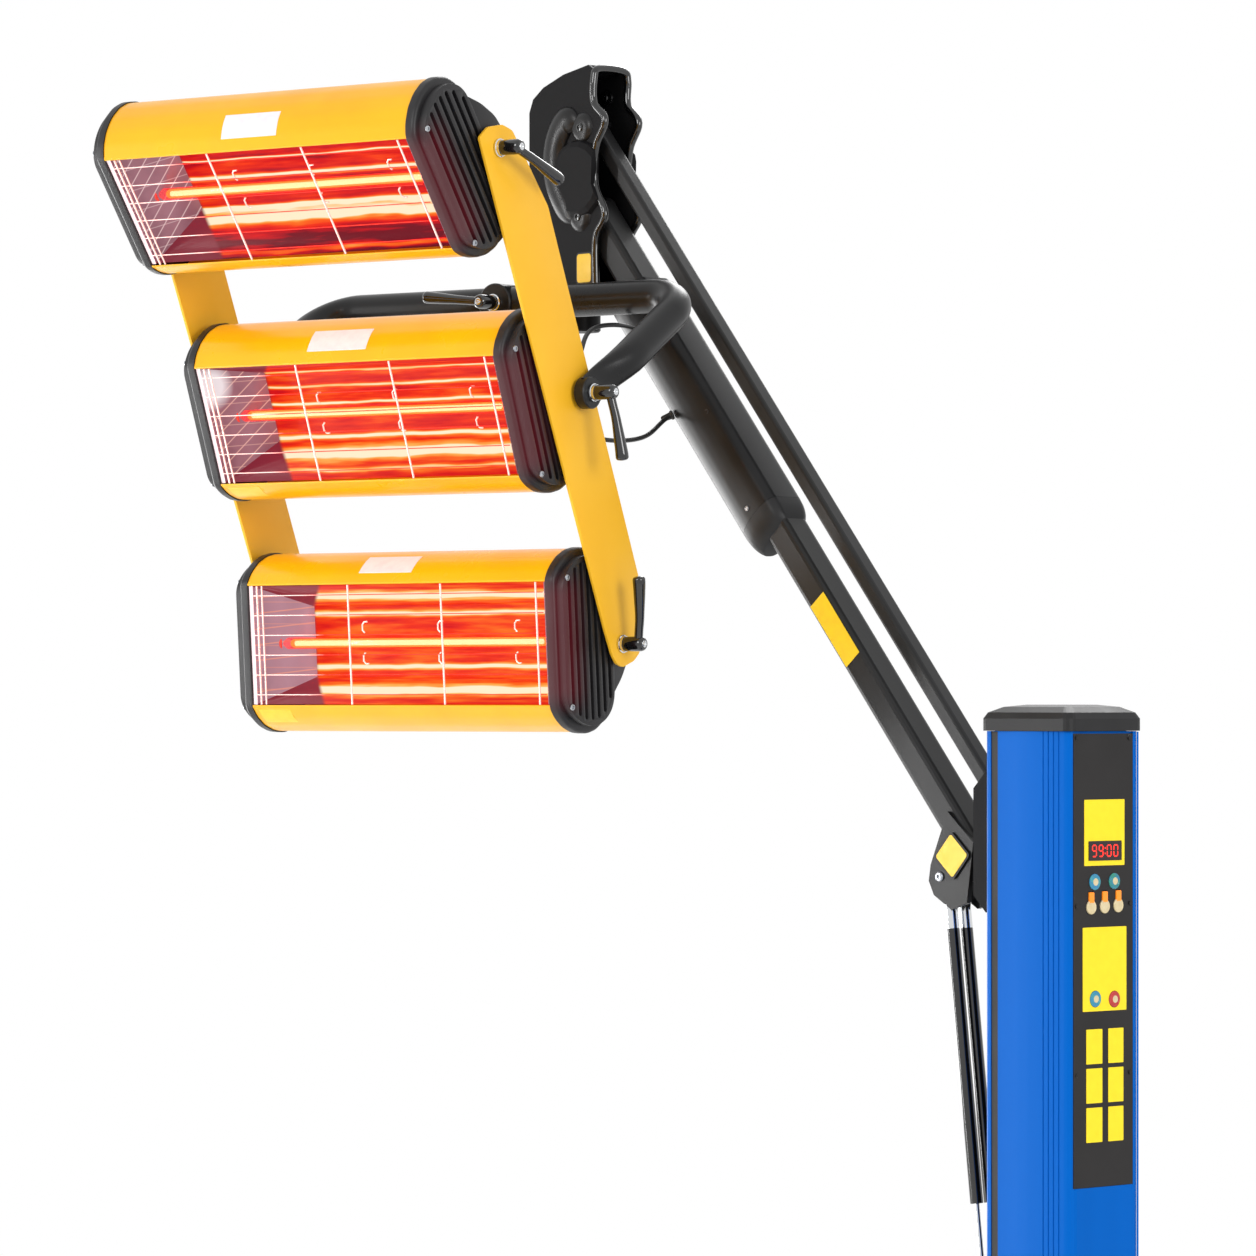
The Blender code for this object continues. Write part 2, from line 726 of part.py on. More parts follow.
def wheel(name, x, y):
    half = CASTER_HALF_WIDTH
    profile = (
        (CASTER_RADIUS - CASTER_CORNER, -half),
        (CASTER_RADIUS, -half + CASTER_CORNER),
        (CASTER_RADIUS, half - CASTER_CORNER),
        (CASTER_RADIUS - CASTER_CORNER, half),
    )
    made = turned(name, profile, (x, y, CASTER_RADIUS), (0.0, 1.0, 0.0), SIDES_LARGE, "rubber")
    hole = rod(
        "hole", (x, y - half - OVERLAP, CASTER_RADIUS), (x, y + half + OVERLAP, CASTER_RADIUS),
        AXLE_RADIUS + BORE_PLAY, SIDES_MEDIUM,
    )
    smooth(pivoted(cut(made, hole), (x, y, CASTER_RADIUS)))


def fork_parts(x, y, top):
    """Cheeks and axle that hold one wheel, from the given height down."""
    inner = CASTER_HALF_WIDTH + FORK_SIDE
    parts = []
    for side in (-1.0, 1.0):
        low, high = sorted((y + side * inner, y + side * (inner + FORK_WALL)))
        outline = [(x - FORK_HALF_LENGTH, top), (x - FORK_NOSE_RADIUS, CASTER_RADIUS)]
        for i in range(SIDES_SMALL // 2 + 1):
            a = math.pi + math.pi * i / (SIDES_SMALL // 2)
            outline.append(
                (x + FORK_NOSE_RADIUS * math.cos(a), CASTER_RADIUS + FORK_NOSE_RADIUS * math.sin(a))
            )
        outline.append((x + FORK_HALF_LENGTH, top))
        parts.append(prism_y("cheek", outline, low, high))
    parts.append(
        rod(
            "axle", (x, y - inner - OVERLAP, CASTER_RADIUS), (x, y + inner + OVERLAP, CASTER_RADIUS),
            AXLE_RADIUS, SIDES_MEDIUM,
        ),
    )
    return parts


def make_base():
    base = box("base_frame", (-HUB_HALF, -HUB_HALF, HUB_LOW), (HUB_HALF, HUB_HALF, HUB_LOW + HUB_THICK))
    parts = []
    for tip in (FRONT_LEG_TIP, REAR_LEG_TIP):
        for side in (-1.0, 1.0):
            end = Vector((tip[0], tip[1] * side, 0.0))
            along = end.normalized()
            across = Vector((-along.y, along.x, 0.0)) * LEG_HALF_WIDTH
            start = along * HUB_HALF * HALF_SHARE
            stop = end + along * LEG_HALF_WIDTH
            outline = [(p.x, p.y) for p in (start - across, stop - across, stop + across, start + across)]
            parts.append(prism_z("leg", outline, LEG_LOW, LEG_HIGH))
    join(base, *parts)
    front_x, front_y = FRONT_LEG_TIP
    rear_x, rear_y = REAR_LEG_TIP
    holes = [
        rod(
            "hole",
            (front_x, side * front_y, LEG_LOW - OVERLAP),
            (front_x, side * front_y, FORK_STEM_TOP + OVERLAP),
            FORK_STEM_RADIUS + GAP,
            SIDES_MEDIUM,
        )
        for side in (-1.0, 1.0)
    ]
    cut(base, *holes)
    for side in (-1.0, 1.0):
        for part in fork_parts(rear_x, side * rear_y, LEG_LOW + OVERLAP):
            join(base, part)
    for side, word in ((-1.0, "right"), (1.0, "left")):
        y = side * front_y
        x = front_x + CASTER_TRAIL
        half_y = CASTER_HALF_WIDTH + FORK_SIDE + FORK_WALL
        plate = box(
            f"caster_fork_{word}",
            (front_x - FORK_STEM_RADIUS * 2, y - half_y, FORK_TOP - FORK_PLATE),
            (x + FORK_HALF_LENGTH, y + half_y, FORK_TOP),
        )
        stem = rod(
            "stem", (front_x, y, FORK_TOP - OVERLAP), (front_x, y, FORK_STEM_TOP), FORK_STEM_RADIUS,
            SIDES_MEDIUM,
        )
        join(plate, stem, *fork_parts(x, y, FORK_TOP - FORK_PLATE * HALF_SHARE))
        pivoted(plate, (front_x, y, FORK_TOP))
        wheel(f"caster_wheel_{word}", x, y)
        wheel(f"rear_wheel_{word}", rear_x, side * rear_y)


def arm_axes():
    foot = Vector((ARM_FOOT[0], 0.0, ARM_FOOT[1]))
    head = Vector((ARM_HEAD[0], 0.0, ARM_HEAD[1]))
    along = (head - foot).normalized()
    over = Vector((along.z, 0.0, -along.x))
    return foot, head, along, over


def cover_span():
    """Where the cover starts and ends along the arm: it stops just under the knuckle's floor."""
    foot, _, along, _ = arm_axes()
    high = (KNUCKLE_FLOOR[0] - foot.z) / along.z - COVER_KNUCKLE_CLEARANCE
    return high - COVER_LENGTH, high


def arm_frame():
    """Local x is world Y, local y points up off the arm, local z runs along it from the foot pivot."""
    foot, _, along, over = arm_axes()
    return Matrix.Translation(foot) @ Matrix((Vector((0.0, -1.0, 0.0)), over, along)).transposed().to_4x4()


def square_tube(name, foot, head, half, half_y, corner):
    along = (head - foot).normalized()
    over = Vector((along.z, 0.0, -along.x))
    frame = Matrix.Translation(foot) @ Matrix((Vector((0.0, -1.0, 0.0)), over, along)).transposed().to_4x4()
    length = (head - foot).length
    section = rounded_rectangle(half_y, half, corner, 3)
    tube = prism_z(name, section, 0.0, length, "black", frame)
    ends = []
    for end in (foot, head):
        side = Vector((0.0, half_y - corner * HALF_SHARE, 0.0))
        ends.append(rod("end", end - side, end + side, half * TUBE_END_SHARE, SIDES_LARGE))
    join(tube, *ends)
    reach = Vector((0.0, half_y + OVERLAP, 0.0))
    cut(
        tube,
        *[
            rod("bore", end - reach, end + reach, PIN_RADIUS + BORE_PLAY, SIDES_MEDIUM)
            for end in (foot, head)
        ],
    )
    return tube


def make_arm():
    foot, head, along, over = arm_axes()
    frame = arm_frame()
    tube = square_tube("main_tube", foot, head, TUBE_HALF, TUBE_HALF_Y, TUBE_CORNER)
    cheeks = []
    for side in (-1.0, 1.0):
        low, high = sorted((side * LUG_ROOT_Y, side * LUG_Y[1]))
        cheeks.append(prism_y("cheek", LUG_OUTLINE, low, high))
    join(tube, *cheeks)
    low_s, high_s = LUG_CHANNEL_SPAN
    low_n = -TUBE_HALF - LUG_CHANNEL_DROP
    outline = []
    for s, n in ((low_s, -TUBE_HALF), (high_s, -TUBE_HALF), (high_s, low_n), (low_s, low_n)):
        spot = foot + along * s + over * n
        outline.append((spot.x, spot.z))
    channel = prism_y("channel", outline, -LUG_Y[0], LUG_Y[0])
    cut(tube, channel)
    pin = rod(
        "pin",
        (STRUT_TOP[0], -LUG_Y[1] + OVERLAP, STRUT_TOP[1]),
        (STRUT_TOP[0], LUG_Y[1] - OVERLAP, STRUT_TOP[1]),
        PIN_RADIUS,
        SIDES_MEDIUM,
    )
    badge_frame = Matrix.Translation((BADGE_CENTRE[0], 0.0, BADGE_CENTRE[1])) @ Matrix.Rotation(
        math.radians(BADGE_TURN_DEGREES), 4, "Y"
    )
    badge = box(
        "badge",
        (-BADGE_HALF, -LUG_Y[1] - BADGE_THICK, -BADGE_HALF),
        (BADGE_HALF, -LUG_Y[1] + OVERLAP, BADGE_HALF),
        "black",
        badge_frame,
    )
    join(tube, pin, badge)
    smooth(pivoted(tube, foot))

    link_foot = Vector((LINK_FOOT[0], 0.0, LINK_FOOT[1]))
    link_head = Vector((LINK_HEAD[0], 0.0, LINK_HEAD[1]))
    link = square_tube("link_tube", link_foot, link_head, LINK_HALF, LINK_HALF_Y, LINK_CORNER)
    smooth(pivoted(link, link_foot))

    outline = mirrored_loop(COVER_OUTER)
    cover_low, cover_high = cover_span()
    cover = sleeve("arm_cover", outline, mirrored_loop(COVER_INNER), cover_low, cover_high, "black", frame)
    smooth(cover, SOFT_CREASE_DEGREES)

    rings = []
    for depth, share in NOSE_RINGS:
        z = cover_low - GAP - depth
        rings.append(
            [
                (y * (HALF_SHARE + share * HALF_SHARE), TUBE_HALF_Y + (n - TUBE_HALF_Y) * share, z)
                for y, n in outline
            ],
        )
    nose = loft("arm_cover_nose", rings, "black", frame)
    half, top = NOSE_CHANNEL
    length = NOSE_RINGS[-1][0] + GAP + OVERLAP
    channel = box(
        "channel", (-half, -top, cover_low - length), (half, top, cover_low + OVERLAP), "black", frame
    )
    smooth(cut(nose, channel), SOFT_CREASE_DEGREES)


def make_struts():
    top = Vector((STRUT_TOP[0], 0.0, STRUT_TOP[1]))
    foot = Vector((STRUT_FOOT[0], 0.0, STRUT_FOOT[1]))
    down = (foot - top).normalized()
    length = (foot - top).length
    for side, word in ((-1.0, "near"), (1.0, "far")):
        shift = Vector((0.0, side * STRUT_Y, 0.0))
        start = top + shift
        half = Vector((0.0, STRUT_EYE_HALF, 0.0))
        body = rod(
            f"strut_body_{word}", start + down * STRUT_BODY_SPAN[0], start + down * STRUT_BODY_SPAN[1],
            STRUT_RADIUS, SIDES_MEDIUM,
        )
        eye = rod("eye", start - half, start + half, STRUT_EYE_RADIUS, SIDES_MEDIUM)
        neck = rod(
            "neck", start, start + down * (STRUT_BODY_SPAN[0] + OVERLAP), STRUT_EYE_HALF, SIDES_SMALL
        )
        join(body, neck, eye)
        bore = rod(
            "bore",
            start + down * STRUT_BORE_START,
            start + down * (STRUT_BODY_SPAN[1] + OVERLAP),
            STRUT_BORE,
            SIDES_MEDIUM,
        )
        hole = rod("hole", start - half * 2, start + half * 2, PIN_RADIUS + BORE_PLAY, SIDES_MEDIUM)
        cut(body, bore, hole)
        smooth(pivoted(body, start))
        end = foot + shift
        piston = rod(
            f"strut_rod_{word}", end - down * (length - ROD_START), end, ROD_RADIUS, SIDES_SMALL, "steel"
        )
        eye = rod("eye", end - half, end + half, STRUT_EYE_RADIUS, SIDES_MEDIUM)
        join(piston, eye)
        hole = rod("hole", end - half * 2, end + half * 2, PIN_RADIUS + BORE_PLAY, SIDES_MEDIUM)
        smooth(pivoted(cut(piston, hole), end))


def make_bracket():
    back = -COLUMN_HALF_X - GAP
    bracket = box(
        "arm_bracket",
        (back - BRACKET_PLATE, -BRACKET_HALF_Y, BRACKET_LOW),
        (back, BRACKET_HALF_Y, BRACKET_HIGH),
    )
    parts = []
    reach_arm = LINK_FOOT[0] - CHEEK_REACH * ARM_CHEEK_SHARE
    reach_strut = STRUT_FOOT[0] - CHEEK_REACH
    for (low_z, high_z), reach in ((ARM_CHEEK, reach_arm), (STRUT_CHEEK, reach_strut)):
        edge = (high_z - low_z) * CHEEK_CORNER_SHARE
        outline = (
            (back, low_z), (back, high_z), (reach + edge, high_z), (reach, high_z - edge),
            (reach, low_z + edge), (reach + edge, low_z),
        )
        for side in (-1.0, 1.0):
            low, high = sorted((side * CHEEK_Y[0], side * CHEEK_Y[1]))
            parts.append(prism_y("cheek", outline, low, high))
    inside = CHEEK_Y[0] + OVERLAP
    for (x, z), radius in ((ARM_FOOT, PIN_RADIUS), (LINK_FOOT, PIN_RADIUS), (STRUT_FOOT, PIN_RADIUS)):
        parts.append(rod("pin", (x, -inside, z), (x, inside, z), radius, SIDES_MEDIUM))
    join(bracket, *parts)


def make_knuckle():
    for side, word in ((-1.0, "near"), (1.0, "far")):
        low, high = sorted((side * KNUCKLE_Y[0], side * KNUCKLE_Y[1]))
        shell = prism_y(f"knuckle_{word}", KNUCKLE_OUTLINE, low, high)
        front = KNUCKLE_OUTLINE[-KNUCKLE_WALL_COUNT:] + KNUCKLE_OUTLINE[:1]
        centre = Vector((DISH_CENTRE[0], DISH_CENTRE[1]))
        inner = []
        for x, z in front:
            inward = (centre - Vector((x, z))).normalized()
            inner.append((x + inward.x * KNUCKLE_WALL, z + inward.y * KNUCKLE_WALL))
        low, high = sorted((side * GAP * HALF_SHARE, side * KNUCKLE_Y[1]))
        wall = prism_y("wall", list(front) + inner[::-1], low, high)
        floor = box(
            "floor",
            (KNUCKLE_OUTLINE[0][0], low, KNUCKLE_FLOOR[0]),
            (KNUCKLE_FLOOR_END, high, KNUCKLE_FLOOR[1]),
        )
        rings = []
        for share, rise in zip(DISH_SHARES, DISH_HEIGHT_SHARES):
            y = side * (KNUCKLE_Y[1] - OVERLAP * (rise == 0.0) + DISH_HEIGHT * rise)
            rings.append([(x, y, z) for x, z in circle(DISH_RADIUS * share, SIDES_LARGE, DISH_CENTRE)])
        dish = loft("dish", rings)
        low_y, high_y = sorted((side * KNUCKLE_Y[0], side * (KNUCKLE_Y[1] + DISH_HEIGHT * 2)))
        trim = prism_y("trim", KNUCKLE_OUTLINE, low_y, high_y)
        combine(dish, [trim], "INTERSECT")
        parts = [wall, floor, dish]
        for x, z in BOLT_XZ:
            base = KNUCKLE_Y[1] - OVERLAP
            tip = KNUCKLE_Y[1] + BOLT_PROUD
            parts.append(rod("bolt", (x, side * base, z), (x, side * tip, z), BOLT_RADIUS, SIDES_MEDIUM))
        join(shell, *parts)
        if side < 0:
            far_face = KNUCKLE_Y[0] - GAP
            pins = [
                rod("pin", (x, -KNUCKLE_Y[0] - OVERLAP, z), (x, far_face, z), PIN_RADIUS, SIDES_MEDIUM)
                for x, z in (ARM_HEAD, LINK_HEAD)
            ]
            join(shell, *pins)
        centre_hole = swivel_point()
        hole = rod(
            "hole",
            (centre_hole.x, centre_hole.y, KNUCKLE_FLOOR[0] - OVERLAP),
            (centre_hole.x, centre_hole.y, KNUCKLE_FLOOR[1] + OVERLAP),
            SWIVEL_STEM_RADIUS + BORE_PLAY,
            SIDES_MEDIUM,
        )
        cut(shell, hole)
        smooth(shell)


def head_frame():
    return Matrix.Translation(HEAD_ORIGIN) @ Matrix.Rotation(math.radians(HEAD_TURN_DEGREES), 4, "Z")


def swivel_point():
    return head_frame() @ Vector((0.0, SWIVEL_BACK, 0.0))


def make_swivel():
    frame = head_frame()
    middle = YOKE_RISE
    centre = frame @ Vector((0.0, SWIVEL_BACK, middle))
    top = KNUCKLE_FLOOR[0] - GAP
    bottom = Vector((centre.x, centre.y, top - SWIVEL_HEIGHT))
    block = rod("swivel_block", bottom, (centre.x, centre.y, top), SWIVEL_RADIUS, SIDES_LARGE)
    stem = rod(
        "stem", (centre.x, centre.y, top - OVERLAP), (centre.x, centre.y, SWIVEL_STEM_TOP),
        SWIVEL_STEM_RADIUS, SIDES_MEDIUM,
    )
    spindle = rod(
        "spindle",
        centre,
        frame @ Vector((0.0, YOKE_HUB_SPAN[1] + GAP, middle)),
        SPINDLE_RADIUS,
        SIDES_MEDIUM,
    )
    tip = rod(
        "tip",
        centre,
        frame @ Vector((0.0, YOKE_HUB_SPAN[0] + OVERLAP, middle)),
        SPINDLE_TIP_RADIUS,
        SIDES_MEDIUM,
    )
    join(block, stem, spindle, tip)
    threaded = rod(
        "threaded",
        frame @ Vector((0.0, YOKE_HUB_SPAN[0], middle)),
        frame @ Vector((0.0, YOKE_HUB_SPAN[0] + STUD_DEPTH, middle)),
        STUD_RADIUS + BORE_PLAY,
        SIDES_MEDIUM,
    )
    cut(block, threaded)
    smooth(pivoted(block, (centre.x, centre.y, centre.z)))


def yoke_path():
    """Centre points and tangents from the right eye over the back bar to the left eye, in head axes."""
    eye = Vector((YOKE_ARM_X, MIDDLE_PIVOT[0], MIDDLE_PIVOT[1]))
    corner = Vector((YOKE_ARM_X, YOKE_BACK, YOKE_RISE))
    up = (corner - eye).normalized()
    inward = Vector((-1.0, 0.0, 0.0))
    points = []
    start = corner - up * YOKE_BEND
    centre = start + inward * YOKE_BEND
    for i in range(YOKE_BEND_STEPS + 1):
        a = math.pi / 2 * i / YOKE_BEND_STEPS
        place = centre - inward * YOKE_BEND * math.cos(a) + up * YOKE_BEND * math.sin(a)
        tangent = up * math.cos(a) + inward * math.sin(a)
        points.append((place, tangent))
    return eye, up, points


def make_yoke():
    frame = head_frame()
    eye, up, bend = yoke_path()
    normal = Vector((1.0, 0.0, 0.0)).cross(up)
    rings = []
    flat_centre = Vector((YOKE_EYE_X, eye.y, eye.z))
    stations = (
        (flat_centre + up * YOKE_FLAT_START, YOKE_FLAT_HALF_X, YOKE_FLAT_START_HALF),
        (flat_centre + up * YOKE_FLAT_END, YOKE_FLAT_HALF_X, YOKE_EYE_HALF),
        (eye + up * YOKE_SWELL_END, YOKE_RADIUS * YOKE_SWELL_SHARE, YOKE_RADIUS),
        (eye + up * YOKE_ROUND_START, YOKE_RADIUS, YOKE_RADIUS),
    )
    for place, half_x, half in stations:
        rings.append(
            [place + Vector((half_x * c, 0.0, 0.0)) + normal * half * s for c, s in circle(1.0, YOKE_SIDES)]
        )
    for place, tangent in bend:
        out = tangent.cross(normal)
        rings.append([place + out * c + normal * s for c, s in circle(YOKE_RADIUS, YOKE_SIDES)])
    mirrored = [[Vector((-p.x, p.y, p.z)) for p in ring] for ring in rings[::-1]]
    yoke = loft("yoke", rings + mirrored, "black", frame)
    parts = []
    for side in (-1.0, 1.0):
        x = side * YOKE_EYE_X
        half = side * YOKE_EYE_HALF_X
        parts.append(
            rod(
                "eye",
                frame @ Vector((x - half, eye.y, eye.z)),
                frame @ Vector((x + half, eye.y, eye.z)),
                YOKE_EYE_HALF,
                SIDES_LARGE,
            ),
        )
    parts.append(
        rod(
            "hub",
            frame @ Vector((0.0, YOKE_HUB_SPAN[0], YOKE_RISE)),
            frame @ Vector((0.0, YOKE_HUB_SPAN[1], YOKE_RISE)),
            YOKE_HUB_RADIUS,
            SIDES_LARGE,
        ),
    )
    join(yoke, *parts)
    holes = []
    reach = YOKE_EYE_X + YOKE_EYE_HALF_X + OVERLAP
    for side in (-1.0, 1.0):
        holes.append(
            rod(
                "hole",
                frame @ Vector((side * PLATE_X[1], eye.y, eye.z)),
                frame @ Vector((side * reach, eye.y, eye.z)),
                STUD_RADIUS + BORE_PLAY,
                SIDES_MEDIUM,
            ),
        )
    holes.append(
        rod(
            "hole",
            frame @ Vector((0.0, YOKE_HUB_SPAN[0] - OVERLAP, YOKE_RISE)),
            frame @ Vector((0.0, YOKE_HUB_SPAN[1] + OVERLAP, YOKE_RISE)),
            SPINDLE_TIP_RADIUS + BORE_PLAY,
            SIDES_MEDIUM,
        ),
    )
    cut(yoke, *holes)
    smooth(pivoted(yoke, frame @ Vector((0.0, YOKE_BACK, YOKE_RISE))))


def pivot_of(which):
    return {"top": TOP_PIVOT, "middle": MIDDLE_PIVOT, "bottom": BOTTOM_PIVOT}[which]


def make_plates():
    frame = head_frame()
    for side, word in ((1.0, "right"), (-1.0, "left")):
        low, high = sorted((side * PLATE_X[0], side * PLATE_X[1]))
        plate = prism_x(f"side_plate_{word}", PLATE_OUTLINE, low, high, "yellow", frame)
        holes = []
        for which in ("top", "middle", "bottom"):
            y, z = pivot_of(which)
            holes.append(
                rod(
                    "hole", frame @ Vector((low - OVERLAP, y, z)), frame @ Vector((high + OVERLAP, y, z)),
                    STUD_RADIUS + BORE_PLAY, SIDES_MEDIUM,
                ),
            )
        cut(plate, *holes)
        pivoted(plate, frame @ Vector((0.0, MIDDLE_PIVOT[0], MIDDLE_PIVOT[1])))


def clamp_lever(name, seat, outward, handle, stud_length):
    """A ratchet lever: stud inwards from the seat, hub outwards, handle across the hub's outer end."""
    frame = axis_frame(seat, outward, handle)
    profile = (
        (LEVER_FOOT_RADIUS, 0.0),
        (LEVER_FOOT_RADIUS, LEVER_FOOT_LENGTH),
        (LEVER_HUB_RADIUS, LEVER_FOOT_LENGTH + OVERLAP),
        (LEVER_HUB_RADIUS, LEVER_HUB_LENGTH),
        (LEVER_TIP_RADIUS, LEVER_HUB_LENGTH + OVERLAP),
    )
    rings = [[(x, y, height) for x, y in circle(radius, SIDES_MEDIUM)] for radius, height in profile]
    lever = loft(name, rings, "black", frame)
    stud = loft(
        "stud",
        [
            [(x, y, height) for x, y in circle(STUD_RADIUS, SIDES_SMALL)]
            for height in (-stud_length, OVERLAP)
        ],
        "steel",
        frame,
    )
    root = LEVER_HUB_LENGTH * LEVER_ROOT_SHARE
    tip = root + LEVER_RISE
    stations = (
        (0.0, root, LEVER_ROOT_HALF),
        (LEVER_LENGTH * LEVER_NECK_SHARE, root + LEVER_RISE * HALF_SHARE, LEVER_ROOT_HALF),
        (LEVER_LENGTH * LEVER_SWELL_SHARE, tip, LEVER_END_HALF),
        (LEVER_LENGTH, tip, LEVER_END_HALF * HALF_SHARE),
    )
    handle_rings = [
        [(x, y, z) for y, z in circle(half, SIDES_SMALL, (0.0, height))] for x, height, half in stations
    ]
    grip = loft("grip", handle_rings, "black", frame)
    join(lever, stud, grip)
    smooth(pivoted(lever, seat))


def make_levers():
    frame = head_frame()
    turn = frame.to_3x3()
    for which in ("top", "bottom"):
        y, z = pivot_of(which)
        seat = frame @ Vector((PLATE_X[1] + GAP, y, z))
        a = math.radians(LEVER_TURNS_DEGREES[which])
        handle = turn @ Vector((0.0, -math.cos(a), math.sin(a)))
        clamp_lever(f"clamp_lever_{which}", seat, turn @ Vector((1.0, 0.0, 0.0)), handle, STUD_DEPTH)
    y, z = MIDDLE_PIVOT
    outer = YOKE_EYE_X + YOKE_EYE_HALF_X + GAP
    for side, word in ((1.0, "right"), (-1.0, "left")):
        a = math.radians(LEVER_TURNS_DEGREES[f"yoke_{word}"])
        handle = turn @ Vector((0.0, -math.cos(a), math.sin(a)))
        seat = frame @ Vector((side * outer, y, z))
        clamp_lever(
            f"clamp_lever_yoke_{word}", seat, turn @ Vector((side, 0.0, 0.0)), handle,
            outer - PLATE_X[1] + STUD_DEPTH,
        )
    seat = frame @ Vector((0.0, YOKE_HUB_SPAN[0] - GAP, YOKE_RISE))
    clamp_lever(
        "clamp_lever_roll",
        seat,
        turn @ Vector((0.0, -1.0, 0.0)),
        turn @ Vector((-1.0, 0.0, ROLL_LEVER_LEAN_SHARE)),
        STUD_DEPTH * ROLL_STUD_SHARE,
    )


def cassette_frame(which):
    y, z = pivot_of(which)
    tilt = math.radians(CASSETTE_TILTS_DEGREES[which])
    return head_frame() @ Matrix.Translation((0.0, y, z)) @ Matrix.Rotation(tilt, 4, "X")


def place(depth, height):
    """Cassette y and z for a depth behind the window plane and a height off the window's middle."""
    return (depth - WINDOW_DEPTH, height + WINDOW_RISE)


def shell_outline():
    upper = [place(depth, height) for depth, height in SHELL_HALF_OUTLINE]
    lower = [place(depth, -height) for depth, height in SHELL_HALF_OUTLINE[::-1]]
    return upper + lower


def offset_outline(outline, amount):
    """Moves each point of a closed outline outwards along its corner normal."""
    count = len(outline)
    area = sum(
        outline[i][0] * outline[(i + 1) % count][1] - outline[(i + 1) % count][0] * outline[i][1]
        for i in range(count)
    )
    sign = 1.0 if area > 0 else -1.0
    made = []
    for i in range(count):
        before, here, after = (Vector(outline[i - 1]), Vector(outline[i]), Vector(outline[(i + 1) % count]))
        first = (here - before).normalized()
        second = (after - here).normalized()
        normal = (Vector((first.y, -first.x)) + Vector((second.y, -second.x))).normalized()
        share = max(normal.dot(Vector((first.y, -first.x))), HALF_SHARE)
        moved = here + normal * sign * amount / share
        made.append((moved.x, moved.y))
    return made


def make_shell(which, frame):
    outline = shell_outline()
    inner = offset_outline(outline, -SHELL_WALL)
    reach = SHELL_WALL * LIP_REACH_SHARE
    turn = SHELL_WALL * LIP_TURN_SHARE
    inner[0] = (inner[0][0] - reach, outline[0][1] - turn)
    inner[-1] = (inner[-1][0] - reach, outline[-1][1] + turn)
    shell = prism_x(
        f"cassette_shell_{which}", outline + inner[::-1], -SHELL_HALF_LENGTH, SHELL_HALF_LENGTH, "yellow",
        frame,
    )
    smooth(pivoted(shell, frame @ Vector((0.0, 0.0, 0.0))), SOFT_CREASE_DEGREES)


def make_tray(which, frame):
    def ring(half_x, half_z, depth, grow):
        y = place(depth + grow, 0.0)[0]
        x, z = half_x + grow, half_z + grow
        return [
            (-x, y, WINDOW_RISE - z),
            (x, y, WINDOW_RISE - z),
            (x, y, WINDOW_RISE + z),
            (-x, y, WINDOW_RISE + z),
        ]

    inside = [ring(*row, 0.0) for row in TRAY_RINGS[::-1]]
    first = TRAY_RINGS[0]
    rim = [
        [
            (
                x * (1.0 + TRAY_SHEET / first[0]),
                inside[-1][0][1],
                WINDOW_RISE + (z - WINDOW_RISE) * (1.0 + TRAY_SHEET / first[1]),
            )
            for x, _, z in inside[-1]
        ],
    ]
    outside = [ring(*row, TRAY_SHEET) for row in TRAY_RINGS[1:]]
    tray = loft(f"reflector_{which}", inside + rim + outside, "mirror", frame)
    y = place(LAMP_DEPTH, 0.0)[0]
    reach = GUARD_HALF_X
    hole = rod(
        "hole",
        frame @ Vector((-reach, y, WINDOW_RISE)),
        frame @ Vector((reach, y, WINDOW_RISE)),
        LAMP_RADIUS + BORE_PLAY * 2,
        SIDES_MEDIUM,
    )
    cut(tray, hole)
    pivoted(tray, frame @ Vector((0.0, 0.0, 0.0)))


def make_lamp(which, frame):
    y = place(LAMP_DEPTH, 0.0)[0]
    start = frame @ Vector((-LAMP_END_HALF, y, WINDOW_RISE))
    ends = LAMP_END_HALF - LAMP_HALF_LENGTH
    full = LAMP_END_HALF * 2
    chamfer, shoulder, neck = [ends * share for share in LAMP_END_SHARES]
    half_profile = (
        (LAMP_END_RADIUS * LAMP_TIP_SHARE, 0.0),
        (LAMP_END_RADIUS, chamfer),
        (LAMP_END_RADIUS, shoulder),
        (LAMP_RADIUS, neck),
    )
    profile = half_profile + tuple((radius, full - height) for radius, height in half_profile[::-1])
    lamp = turned(
        f"lamp_tube_{which}", profile, start, frame.to_3x3() @ Vector((1.0, 0.0, 0.0)), SIDES_MEDIUM, "ruby"
    )
    smooth(pivoted(lamp, frame @ Vector((0.0, 0.0, 0.0))))


